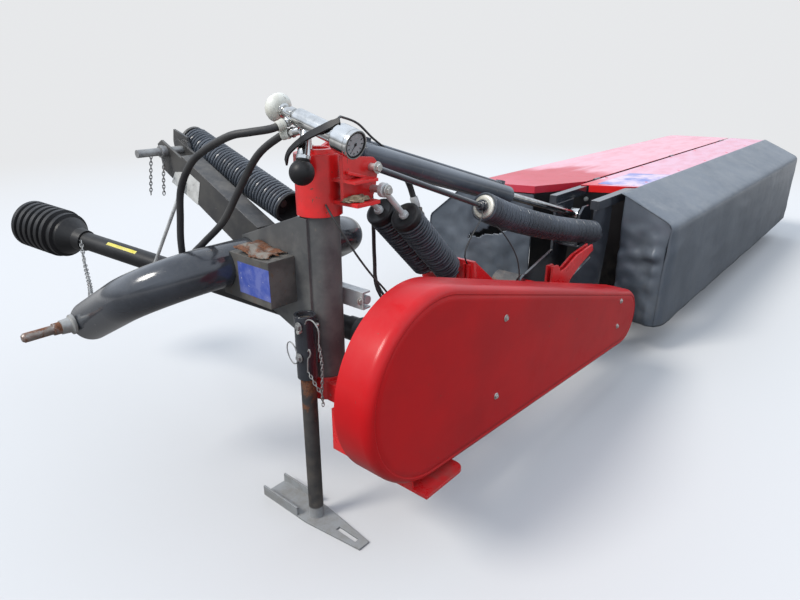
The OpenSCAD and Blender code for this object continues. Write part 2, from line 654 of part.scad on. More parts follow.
// The inner frame: hinge plates on the tilting axis, which carry the guard, and the fork for the rod's eye
hinge_left = 1500;
slot_in = 42;
plate_h = 12;
rail = 40;
rail_top = deck_z - sheet - seat;
module hinge_plate(y0) difference() {
    sheet_xz(y0, y0 + plate_h) union() {
        translate([pivot_x, pivot_z]) circle(r = 78);
        polygon([[pivot_x - 40, pivot_z - 66], [frame_x + 30, bar_top], [frame_x + 160, bar_top],
            [frame_x + 250, deck_z - 190], [frame_x + 250, rail_top - rail], [hinge_left, rail_top - rail],
            [hinge_left, pivot_z + 140], [pivot_x - 10, pivot_z + 76]]);
    }
    across(pivot_x, pivot_z, y0 - 1, y0 + plate_h + 1, tube_r + fit);
}
eye_x = 1625;
eye_z = 654;
module inner_frame() color("#2c2d31") from_post() {
    hinge_plate(-150);
    hinge_plate(slot_in);
    sheet_xz(-slot_in - plate_h, -slot_in) polygon([[eye_x - 70, eye_z - 130], [eye_x + 50, eye_z - 130],
        [eye_x + 50, eye_z + 34], [eye_x + 20, eye_z + 50], [eye_x - 30, eye_z + 50], [eye_x - 70, eye_z + 20]]);
    translate([eye_x - 70, -150, eye_z - 138]) cube([115, 150 + slot_in + plate_h, 10]);
    translate([frame_x + 30, -150, bar_top]) cube([130, 190 + slot_in, 12]);
    translate([frame_x + 60, -150, bar_top + 11]) cube([10, 150 + slot_in + 2, 200]);
}

module skid(x) translate([x, 0, 0]) sheet_yz(-skid_r / 2 - 20, skid_r / 2 + 20)
    polygon([[bar_y - bar_w / 2 - 20, bar_low + 6], [bar_y - bar_w / 2, 6], [bar_y - bar_w / 2 + 40, 0],
        [bar_y + bar_w / 2 - 70, 0], [bar_y + bar_w / 2 - 10, 10], [bar_y + bar_w / 2 + 16, bar_low + 8],
        [bar_y + bar_w / 2 - 20, bar_low + 8]]);
bar_end = disc_first + (disc_count - 1) * disc_pitch + 190;
module cutter_bar() color("#55504b") from_post() difference() {
    union() {
        translate([frame_x - 40, bar_y - bar_w / 2, bar_low]) cube([bar_end - frame_x + 40, bar_w, bar_h]);
        for (i = [0 : disc_count - 1]) {
            skid(disc_first + i * disc_pitch);
            translate([disc_first + i * disc_pitch, disc_y, bar_top]) cylinder(h = 7.7, r = 62);
        }
        translate([bar_end - 10, post_y, bar_low]) cube([deck_end - bar_end - 30, 300, 30 - seat]);
    }
    for (i = [0 : disc_count]) translate([disc_first + (i - 0.5) * disc_pitch, bar_y + bar_w / 2 + 30, bar_low - 1])
        cylinder(h = bar_h + 2, r = 70);
}

// One oval disc with its two knives; the discs stand in turn along and across the bar
module mower_disc(i) from_post() translate([disc_first + (i - 1) * disc_pitch, disc_y, disc_z])
    rotate([0, 0, (i % 2) * 90]) {
    round_r = (disc_len * disc_len + disc_w * disc_w) / (4 * disc_w);
    lens = round_r - disc_w / 2;
    difference() {
        union() {
            linear_extrude(height = 10) intersection() {
                translate([0, lens]) circle(r = round_r);
                translate([0, -lens]) circle(r = round_r);
                circle(r = disc_len / 2);
            }
            cylinder(h = 30, r1 = 96, r2 = 62);
            if (i == 1 || i == disc_count) translate([0, 0, 29]) cylinder(h = 150, r1 = 100, r2 = 78);
            for (s = [-1, 1]) translate([s * (disc_len / 2 - 24), 0, 0]) cylinder(h = 20, r = 14);
        }
    }
    for (s = [0, 180]) rotate([0, 0, s]) translate([disc_len / 2 - 44, -22, -4.3])
        cube([knife_r - disc_len / 2 + 43, 44, 4.3]);
}
module disc_1() color("#4d4a47") mower_disc(1);
module disc_2() color("#4d4a47") mower_disc(2);
module disc_3() color("#4d4a47") mower_disc(3);
module disc_4() color("#4d4a47") mower_disc(4);
module disc_5() color("#4d4a47") mower_disc(5);
module disc_6() color("#4d4a47") mower_disc(6);
module disc_7() color("#4d4a47") mower_disc(7);

// The fixed guard frame and, hinged on it along the seam, the frame of the front guard
hinge_y = 86;
hinge_r = 6.5;
hinge_pin_r = 4;
knuckle_x = [2000, 3200, 4400];
knuckle_w = 30;
post_y = -40;
end_plate_low = 560;
module guard_frame() color("#36373b") from_post() {
    for (y = [-160, hinge_y - clear - 34]) translate([hinge_left, y, rail_top - rail])
        cube([deck_end - hinge_left - 60, y < 0 ? rail : 34, rail]);
    for (x = [1960, 2600, 3700, deck_end - 100]) translate([x, -150, rail_top - rail])
        cube([rail, hinge_y - clear + 150, rail]);
    translate([deck_end - 95, post_y, 60]) cube([rail, 60, rail_top - rail - 59]);
    // An upright plate closes the slanted inner end between the rails
    translate([0, 0, end_plate_low]) linear_extrude(height = rail_top - end_plate_low)
        polygon([rear_in(-121) + [sheet + 3, 0], rear_in(47) + [sheet + 3, 0], rear_in(47) + [sheet + 7, 0],
            rear_in(-121) + [sheet + 7, 0]]);
    for (x = knuckle_x) {
        translate([x, hinge_y, deck_z]) rotate([0, 90, 0]) cylinder(h = knuckle_w, r = hinge_r);
        translate([x, hinge_y - clear - 2, rail_top - 10]) cube([knuckle_w, clear + 2, 10]);
        translate([x + knuckle_w - 1, hinge_y, deck_z]) rotate([0, 90, 0])
            cylinder(h = knuckle_w + 8, r = hinge_pin_r);
    }
}

// Flat top panels, their inner ends cut back for the cylinder of the raised mower
rear_edge = 76;
front_edge = 96;
lip = 36;
// The slanted inner end of the rear panel
function rear_in(y) = [1950 - (y + 180) * 0.51, y];
module rear_panel() color("#c3273a") from_post() {
    translate([0, 0, deck_z - sheet]) linear_extrude(height = sheet)
        polygon([rear_in(-180), rear_in(rear_edge), [deck_end - 10, rear_edge], [deck_end - 10, -180]]);
    for (y = [[-180, -162], [-118, 40]]) translate([0, 0, deck_z - lip]) linear_extrude(height = lip - 1)
        polygon([rear_in(y[0]), rear_in(y[1]), rear_in(y[1]) + [sheet + 1, 0], rear_in(y[0]) + [sheet + 1, 0]]);
}

knee_z = 640;
rear_start = 1710;
module rear_curtain() color("#4a4c51") from_post() {
    sheet_yz(rear_start, deck_end)
        polygon([[-174, deck_z + seat], [-174, deck_z + seat + cloth], [-180, deck_z + seat + cloth],
            [-curtain_y + 14, knee_z + 12], [-curtain_y, knee_z - 8], [-curtain_y, hem_z],
            [-curtain_y + cloth, hem_z], [-curtain_y + cloth, knee_z - 10], [-curtain_y + 16, knee_z + 7],
            [-182, deck_z + seat]]);
    // Its flap at the inner end
    sheet_yz(rear_start, rear_start + cloth) polygon([[-curtain_y + cloth / 2, hem_z],
        [-curtain_y + cloth / 2, knee_z - 9], [-curtain_y + 15, knee_z + 9.5], [-190, deck_z - 2], [-205, hem_z]]);
}

module end_curtain() color("#44464b") from_post()
    sheet_yz(deck_end - cloth - 2, deck_end - 2) polygon([[-curtain_y + cloth + seat, hem_z],
        [-curtain_y + cloth + seat, knee_z - 10], [-196, deck_z - 8], [60, deck_z - 8], [60, hem_z]]);

front_in = 1575;
front_out = deck_end - 140;
module front_rail() color("#36373b") from_post() {
    for (y = [hinge_y + 12, 480]) translate([y > 400 ? front_in : 2000 - 60, y, rail_top - rail])
        cube([front_out - (y > 400 ? front_in : 2000 - 60), rail, rail]);
    for (x = [2000 - 60, 3100, front_out - rail]) translate([x, hinge_y + 12, rail_top - rail])
        cube([rail, 434, rail]);
    for (x = knuckle_x) difference() {
        union() {
            translate([x + knuckle_w + 0.5, hinge_y, deck_z]) rotate([0, 90, 0])
                cylinder(h = knuckle_w, r = hinge_r);
            translate([x + knuckle_w + 0.5, hinge_y, rail_top - 10]) cube([knuckle_w, 13, 10]);
        }
        translate([x, hinge_y, deck_z]) rotate([0, 90, 0]) cylinder(h = 3 * knuckle_w, r = hinge_pin_r + fit);
    }
}
module front_panel() color("#b3172a") from_post() {
    translate([0, 0, deck_z - sheet]) linear_extrude(height = sheet)
        polygon([[1540, 540], [1630, 230], [1930, front_edge], [deck_end - 10, front_edge],
            [deck_end - 75, 500], [deck_end - 120, 540]]);
    translate([0, 0, deck_z - lip]) linear_extrude(height = lip - 1) polygon([[1540, 540], [1630, 230],
        [1918, 101], [1921, 106], [1634, 234], [1545, 540]]);
}
front_start = 1520;
module front_curtain() color("#4a4c51") from_post() {
    // Its flap at the inner end hangs below the panel's lip
    sheet_yz(front_start, front_start + cloth) polygon([[541, hem_z], [541, deck_z - 6], [560, deck_z - 7],
        [798, 558], [802, hem_z]]);
    translate([0, 0, hem_z]) linear_extrude(height = deck_z - lip - 2 - hem_z)
        polygon([[front_start, 548], [front_start + 3.8, 549.3], [1634.8, 232.3], [1631, 231]]);
    sheet_yz(front_start, deck_end - 60) polygon([[540 + seat, deck_z - 10], [540 + seat, deck_z],
        [560, deck_z - 4], [800, 560], [804, hem_z], [800, hem_z], [796, 556], [560, deck_z - 10]]);
    sheet_yz(deck_end - 64, deck_end - 60) polygon([[hinge_y + 20, hem_z], [hinge_y + 20, rail_top - rail - 6],
        [480, rail_top - rail - 6], [545, deck_z - 12], [560, deck_z - 9], [797, 558], [801, hem_z]]);
}

// Lift cylinder, its rod drawn out of the barrel by the mower's weight

lift_base = [base_x, 0, base_z];
lift_eye = [eye_x, 0, eye_z];
rod_r = lift_rod_d / 2;
// The oil pipe along the top of the barrel
pipe_y = 22;
pipe_up = barrel_d / 2 + 3;
module lift_barrel() color("#1f2024") from_post() along(lift_base, lift_eye) difference() {
    union() {
        cylinder(h = 60, r = fork_in - seat);
        translate([0, 0, 56]) cylinder(h = barrel_len - 56, r = barrel_d / 2);
        rotate([90, 0, 0]) translate([0, 0, -fork_in + 0.3]) cylinder(h = 2 * fork_in - 0.6, r = 25);
        translate([-pipe_up, pipe_y, 90]) cylinder(h = barrel_len - 115, r = 7);
        for (z = [80, barrel_len - 40]) translate([-pipe_up - 12, pipe_y - 14, z]) cube([30, 26, 26]);
    }
    rotate([90, 0, 0]) translate([0, 0, -50]) cylinder(h = 100, r = 12.5);
    translate([0, 0, 66]) cylinder(h = barrel_len - 100, r = rod_r + 8);
    translate([0, 0, 66]) cylinder(h = barrel_len, r = rod_r + fit);
}
rod_len = 860;
module lift_rod() color("#b9bbbd") from_post() along(lift_eye, lift_base) difference() {
    union() {
        translate([0, 0, 24]) cylinder(h = rod_len - 24, r = rod_r);
        rotate([90, 0, 0]) translate([0, 0, -20]) cylinder(h = 40, r = 32);
    }
    rotate([90, 0, 0]) translate([0, 0, -21]) cylinder(h = 42, r = 15);
}

// The stand's leg with its folded foot
foot_t = 6;
module stand_leg() color("#5a534c") from_post() {
    translate([leg_x, leg_y, foot_t]) cylinder(h = sleeve_low + sleeve_len - 20, r = leg_d / 2);
    translate([leg_x, leg_y, 0]) difference() {
        union() {
            translate([-foot_w / 2, 0, 0]) cube([foot_w, foot_len / 2, foot_t]);
            linear_extrude(height = foot_t) polygon([[-foot_w / 2, 0.1], [foot_w / 2, 0.1], [20, -foot_len / 2],
                [-20, -foot_len / 2]]);
            for (s = [-1, 1]) translate([s * (foot_w / 2 - 3) - 3, 40, 0]) cube([6, foot_len / 2 - 40, 34]);
        }
        translate([-8, -foot_len / 2 + 30, -1]) cube([16, 80, foot_t + 2]);
    }
}

// The turning inner shaft with its yokes; the front yoke lies inside the guard's cone
hub_end = cone_end - 10;
module pto_shaft() color("#57514b") from_post() along(shaft_rear, cone_tip) {
    translate([0, 0, 40]) cylinder(h = hub_end - 178, r = 22);
    translate([0, 0, -24]) difference() {
        cylinder(h = 64.5, r = 40);
        translate([0, 0, -1]) cylinder(h = 40, r = 30);
    }
    translate([0, 0, hub_end - 139]) cylinder(h = 30, r = drive_hub_r);
    for (s = [-1, 1]) translate([s * 26 - 7, -20, hub_end - 110]) cube([14, 40, 42]);
    translate([0, 0, hub_end - drive_hub_len - 10]) cylinder(h = 10 - seat, r = drive_hub_r);
}

// The hub in front of the joint takes the tractor's splined shaft
drive_hub_r = 34;
drive_bore_r = 17.5;
drive_hub_len = 60;
module drive_hub() color("#57514b") from_post() along(shaft_rear, cone_tip)
    translate([0, 0, hub_end - drive_hub_len]) difference() {
        cylinder(h = drive_hub_len, r = drive_hub_r);
        translate([0, 0, -1]) cylinder(h = drive_hub_len + 2, r = drive_bore_r);
    }

hose_a();
hose_b();
hose_c();
hitch_yoke();
left_lower_pin();
right_lower_pin();
pivot_post();
post_box();
top_link_mast();
top_link_pin();
mast_spring();
pto_rest();
pto_guard();
pto_cone();
stand_sleeve();
strut();
swing_shaft();
swing_head();
swing_bracket();
boom_arm();
belt_plate();
belt_cover();
input_housing();
short_springs();
long_spring();
accumulator();
gauge();
lever();
drive_gearbox();
inner_frame();
cutter_bar();
disc_1();
disc_2();
disc_3();
disc_4();
disc_5();
disc_6();
disc_7();
guard_frame();
rear_panel();
rear_curtain();
end_curtain();
front_rail();
front_panel();
front_curtain();
lift_barrel();
lift_rod();
stand_leg();
pto_shaft();
drive_hub();
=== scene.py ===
# Disc mower with a belt drive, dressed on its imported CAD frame.
# Places are given in millimetres from the foot of the pivot post.
from math import acos, atan2, cos, exp, hypot, pi, radians, sin

import bmesh
import bpy
from mathutils import Matrix, Vector, noise


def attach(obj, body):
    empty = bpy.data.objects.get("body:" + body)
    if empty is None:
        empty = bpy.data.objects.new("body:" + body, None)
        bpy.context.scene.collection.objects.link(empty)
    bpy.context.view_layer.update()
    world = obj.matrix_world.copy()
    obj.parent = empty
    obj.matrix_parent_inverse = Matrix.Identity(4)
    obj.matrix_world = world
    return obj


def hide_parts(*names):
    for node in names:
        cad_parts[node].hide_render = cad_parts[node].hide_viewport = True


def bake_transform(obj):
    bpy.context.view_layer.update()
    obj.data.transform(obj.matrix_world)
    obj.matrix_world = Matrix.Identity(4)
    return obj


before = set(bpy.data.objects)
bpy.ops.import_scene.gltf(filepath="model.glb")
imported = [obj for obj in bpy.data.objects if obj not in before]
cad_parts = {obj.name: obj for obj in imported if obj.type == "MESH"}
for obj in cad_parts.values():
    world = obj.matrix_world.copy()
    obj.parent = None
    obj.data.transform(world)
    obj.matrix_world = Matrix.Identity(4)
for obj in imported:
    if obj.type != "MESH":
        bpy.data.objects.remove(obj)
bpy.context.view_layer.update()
scene = bpy.context.scene
postFoot = Vector((-2.07975, -0.605492, 0))


def at(x, y, z):
    return postFoot + Vector((x, y, z)) / 1000


def allAt(points):
    return [at(*point) for point in points]


# Camera, at the photograph's place and angle
view = dict(place=(-1070, -1200, 1300), azimuth=40.56, down=20.97, lens=27.0, sensor=36, clip=(0.05, 80))
camera = bpy.data.objects.new("camera", bpy.data.cameras.new("camera"))
camera.data.sensor_width, camera.data.lens = view["sensor"], view["lens"]
camera.data.clip_start, camera.data.clip_end = view["clip"]
camera.location = at(*view["place"])
turn, drop = radians(view["azimuth"]), radians(view["down"])
aim = Vector((cos(turn) * cos(drop), sin(turn) * cos(drop), -sin(drop)))
camera.rotation_mode = "QUATERNION"
camera.rotation_quaternion = aim.to_track_quat("-Z", "Y")
scene.collection.objects.link(camera)
scene.camera = camera
scene.view_settings.view_transform = "Standard"


# Shader helpers
def feed(tree, sockets, values):
    # a socket is linked, anything else is set
    for key, value in values.items():
        if isinstance(value, bpy.types.NodeSocket):
            tree.links.new(value, sockets[key])
        else:
            sockets[key].default_value = value


def addNode(tree, kind, inputs=None, **settings):
    node = tree.nodes.new(kind)
    for name, value in settings.items():
        setattr(node, name, value)
    feed(tree, node.inputs, inputs or {})
    return node


def mathOf(tree, operation, a, b, clamped=True):
    return addNode(tree, "ShaderNodeMath", {0: a, 1: b}, operation=operation, use_clamp=clamped).outputs[0]


def times(tree, a, b):
    return mathOf(tree, "MULTIPLY", a, b)


def spread(tree, value, low, high, toLow=0.0, toHigh=1.0):
    return addNode(tree, "ShaderNodeMapRange", {0: value, 1: low, 2: high, 3: toLow, 4: toHigh},
                   interpolation_type="SMOOTHSTEP").outputs[0]


def mixed(tree, share, a, b):
    return addNode(tree, "ShaderNodeMix", {0: share, 6: a, 7: b}, data_type="RGBA").outputs[2]


def clouds(tree, spot, scale, detail, roughness=0.6, distortion=0.0):
    return addNode(tree, "ShaderNodeTexNoise", {"Vector": spot, "Scale": scale, "Detail": detail,
                   "Roughness": roughness, "Distortion": distortion}).outputs[0]


def partOf(tree, vector, axis=2):
    return addNode(tree, "ShaderNodeSeparateXYZ", {0: vector}).outputs[axis]


def rgba(colour):
    return (*colour, 1.0)


resultKinds = dict(Colour="NodeSocketColor", Normal="NodeSocketVector")


def newGroup(name, colours, numbers, results):
    group = bpy.data.node_groups.new(name, "ShaderNodeTree")
    sockets = [(label, "INPUT", "NodeSocketColor") for label in colours]
    sockets += [(label, "INPUT", "NodeSocketFloat") for label in numbers]
    sockets += [(label, "OUTPUT", resultKinds.get(label, "NodeSocketFloat")) for label in results]
    for label, side, kind in sockets:
        group.interface.new_socket(label, in_out=side, socket_type=kind)
    return group, group.nodes.new("NodeGroupInput").outputs, group.nodes.new("NodeGroupOutput").inputs


# How fine each pattern is
grain = dict(corners=34.0, speckle=60.0, drift=9.0, splashes=24.0, flakes=70.0, rust=220.0, bleachEdge=3.0,
    bleachStreaks=11.0)
rustTones = ((0.075, 0.029, 0.016), (0.22, 0.085, 0.034))


# Edges: a softly rounded normal, and where paint has worn off the corners
def edgesGroup():
    group, given, result = newGroup("edges", [], ["Radius"], ["Normal", "Worn"])
    normal = addNode(group, "ShaderNodeNewGeometry").outputs["Normal"]
    spot = addNode(group, "ShaderNodeTexCoord").outputs["Object"]
    soft = addNode(group, "ShaderNodeBevel", {"Radius": given["Radius"]}, samples=4).outputs[0]
    same = addNode(group, "ShaderNodeVectorMath", {0: soft, 1: normal},
                   operation="DOT_PRODUCT").outputs["Value"]
    near = spread(group, mathOf(group, "SUBTRACT", 1.0, same), 0.015, 0.12)
    patchy = spread(group, clouds(group, spot, grain["corners"], 6, 0.7), 0.46, 0.58)
    feed(group, result, {"Normal": soft, "Worn": times(group, near, patchy)})
    return group


# Weather: fading, dust on what faces up, mud near the ground, chips and fine grain
def weatherGroup():
    group, given, result = newGroup(
        "weather", ["Paint", "Faded", "Dust", "Mud", "Chip"],
        ["Fade Scale", "Dust Share", "Mud Share", "Chip Share", "Worn", "Clean Roughness", "Dirty Roughness"],
        ["Colour", "Roughness", "Height"])
    own = addNode(group, "ShaderNodeTexCoord").outputs
    spot = own["Object"]
    fade = spread(group, clouds(group, spot, given["Fade Scale"], 6), 0.38, 0.64)
    speckle = clouds(group, spot, grain["speckle"], 8, 0.7)
    drift = clouds(group, spot, grain["drift"], 7, 0.62, 0.4)
    settled = mathOf(group, "ADD", times(group, speckle, 0.45), times(group, drift, 0.6))
    dust = times(group, spread(group, partOf(group, own["Normal"]), 0.05, 0.95, 0.08, 1.0),
                 spread(group, settled, 0.42, 0.68))
    dust = times(group, dust, given["Dust Share"])
    splashes = spread(group, clouds(group, spot, grain["splashes"], 8, 0.7), 0.4, 0.62)
    mud = times(group, spread(group, partOf(group, spot), 0.55, 0.02), splashes)
    mud = times(group, mud, given["Mud Share"])
    flakes = clouds(group, spot, grain["flakes"], 5, 0.6, 0.6)
    chips = spread(group, mathOf(group, "ADD", flakes, times(group, given["Chip Share"], 0.3)), 0.72, 0.74)
    chips = mathOf(group, "MAXIMUM", chips, given["Worn"])
    colour = mixed(group, fade, given["Paint"], given["Faded"])
    for share, cover in ((chips, "Chip"), (dust, "Dust"), (mud, "Mud")):
        colour = mixed(group, share, colour, given[cover])
    dirty = mathOf(group, "MAXIMUM", mathOf(group, "MAXIMUM", dust, mud), chips)
    dirty = mathOf(group, "MAXIMUM", dirty, spread(group, drift, 0.45, 0.75, 0.0, 0.4))
    rough = addNode(group, "ShaderNodeMix", {0: dirty, 2: given["Clean Roughness"],
                                             3: given["Dirty Roughness"]}).outputs[0]
    height = mathOf(group, "ADD", times(group, speckle, 0.35), times(group, dirty, 0.25))
    feed(group, result, {"Colour": colour, "Roughness": rough, "Height": height})
    return group


# Rust: brown and orange patches with a coarse surface
def rustGroup():
    group, given, result = newGroup("rust", ["Steel"], ["Rust Share", "Scale", "Low", "High"],
                                    ["Colour", "Mask", "Height"])
    spot = addNode(group, "ShaderNodeTexCoord").outputs["Object"]
    patches = clouds(group, spot, given["Scale"], 8, 0.68, 0.5)
    grains = clouds(group, spot, grain["rust"], 4, 0.7)
    rise = addNode(group, "ShaderNodeMapRange", {0: partOf(group, spot), 1: given["Low"], 2: given["High"],
                                                 3: 0.0, 4: 0.26}).outputs[0]
    patches = mathOf(group, "ADD", patches, rise)
    share = mathOf(group, "SUBTRACT", given["Rust Share"], 0.5, clamped=False)
    mask = spread(group, mathOf(group, "ADD", patches, share), 0.46, 0.6)
    tone = mixed(group, spread(group, grains, 0.35, 0.65), *[rgba(colour) for colour in rustTones])
    feed(group, result, {"Colour": mixed(group, mask, given["Steel"], tone), "Mask": mask,
                         "Height": times(group, grains, mask)})
    return group


# Sun bleach: strong on what faces up, away from a piece's inner end
def bleachGroup():
    group, given, result = newGroup("bleach", [], ["Start", "Full"], ["Mask"])
    own = addNode(group, "ShaderNodeTexCoord").outputs
    facing = spread(group, partOf(group, own["Normal"]), 0.6, 0.9)
    stretched = addNode(group, "ShaderNodeMapping", {"Vector": own["Object"],
                                                     "Scale": (0.5, 1.6, 1.0)}).outputs[0]
    edge = clouds(group, stretched, grain["bleachEdge"], 4, 0.5, 0.6)
    shift = mathOf(group, "MULTIPLY", mathOf(group, "SUBTRACT", edge, 0.5, clamped=False), 1.5, clamped=False)
    moved = mathOf(group, "ADD", partOf(group, own["Object"], 0), shift, clamped=False)
    share = spread(group, moved, given["Start"], given["Full"])
    streaks = spread(group, clouds(group, stretched, grain["bleachStreaks"], 5, 0.6, 0.3), 0.3, 0.62, 0.72, 1.0)
    feed(group, result, {"Mask": times(group, times(group, share, streaks), facing)})
    return group


# Cloth: a fine weave under a coating
def weaveGroup():
    group, given, result = newGroup("weave", [], ["Threads"], ["Height"])
    flat = addNode(group, "ShaderNodeUVMap", uv_map="flat").outputs[0]
    waves = [addNode(group, "ShaderNodeTexWave", {"Vector": flat, "Scale": given["Threads"], "Distortion": 0.3,
                     "Detail": 1.0}, bands_direction=direction).outputs[1] for direction in ("X", "Y")]
    feed(group, result, {"Height": times(group, *waves)})
    return group


edges, weather, rust = edgesGroup(), weatherGroup(), rustGroup()
bleach, weave = bleachGroup(), weaveGroup()

# What a look has unless it says otherwise
usual = dict(dustColour=(0.24, 0.222, 0.195), mudColour=(0.15, 0.125, 0.098), chip=(0.12, 0.085, 0.06),
    scale=5.0, dust=0.35, mud=0.3, chips=0.1, bump=0.25, bumpDepth=0.0015, metal=0.0, coat=0.0, coatRough=0.12,
    specular=0.5, rustScale=14.0, rise=(50.0, 60.0), rustBump=0.8, rustRough=0.85, weaveBump=0.18)


def painted(name, changes):
    look = {**usual, **changes}
    material = bpy.data.materials.new(name)
    material.use_nodes = True
    tree = material.node_tree
    worn = addNode(tree, "ShaderNodeGroup", {}, node_tree=weather)
    feed(tree, worn.inputs, {
        "Paint": rgba(look["paint"]), "Faded": rgba(look["faded"]), "Dust": rgba(look["dustColour"]),
        "Mud": rgba(look["mudColour"]), "Chip": rgba(look["chip"]), "Fade Scale": look["scale"],
        "Dust Share": look["dust"], "Mud Share": look["mud"], "Chip Share": look["chips"],
        "Clean Roughness": look["rough"][0], "Dirty Roughness": look["rough"][1]})
    bump = addNode(tree, "ShaderNodeBump", {"Strength": look["bump"], "Distance": look["bumpDepth"]})
    if "edge" in look:
        radius, wear = look["edge"]
        rim = addNode(tree, "ShaderNodeGroup", {"Radius": radius}, node_tree=edges).outputs
        feed(tree, bump.inputs, {"Normal": rim["Normal"]})
        feed(tree, worn.inputs, {"Worn": times(tree, rim["Worn"], wear)})
    if "foot" in look:
        footColour, low, high = look["foot"]
        above = spread(tree, partOf(tree, addNode(tree, "ShaderNodeTexCoord").outputs["Object"]), low, high)
        for key in ("Paint", "Faded"):
            feed(tree, worn.inputs, {key: mixed(tree, above, rgba(footColour), rgba(look[key.lower()]))})
    if "bleached" in look:
        pale, start, full = look["bleached"]
        sun = addNode(tree, "ShaderNodeGroup", {"Start": start, "Full": full}, node_tree=bleach).outputs["Mask"]
        for key in ("Paint", "Faded"):
            feed(tree, worn.inputs, {key: mixed(tree, sun, rgba(look[key.lower()]), rgba(pale))})
    colour, rough, height = [worn.outputs[key] for key in ("Colour", "Roughness", "Height")]
    metal = look["metal"]
    if "rust" in look:
        low, high = look["rise"]
        oxide = addNode(tree, "ShaderNodeGroup", {"Steel": colour, "Rust Share": look["rust"],
                        "Scale": look["rustScale"], "Low": low, "High": high}, node_tree=rust).outputs
        colour = oxide["Colour"]
        height = mathOf(tree, "ADD", height, times(tree, oxide["Height"], look["rustBump"]))
        rough = mathOf(tree, "MAXIMUM", rough, times(tree, oxide["Mask"], look["rustRough"]))
        if metal:
            metal = mathOf(tree, "SUBTRACT", metal, oxide["Mask"])
    if "threads" in look:
        cloth = addNode(tree, "ShaderNodeGroup", {"Threads": look["threads"]}, node_tree=weave).outputs
        height = mathOf(tree, "ADD", height, times(tree, cloth["Height"], look["weaveBump"]))
    feed(tree, bump.inputs, {"Height": height})
    feed(tree, tree.nodes["Principled BSDF"].inputs, {
        "Base Color": colour, "Roughness": rough, "Metallic": metal, "Coat Weight": look["coat"],
        "Coat Roughness": look["coatRough"], "Specular IOR Level": look["specular"], "Normal": bump.outputs[0]})
    return material


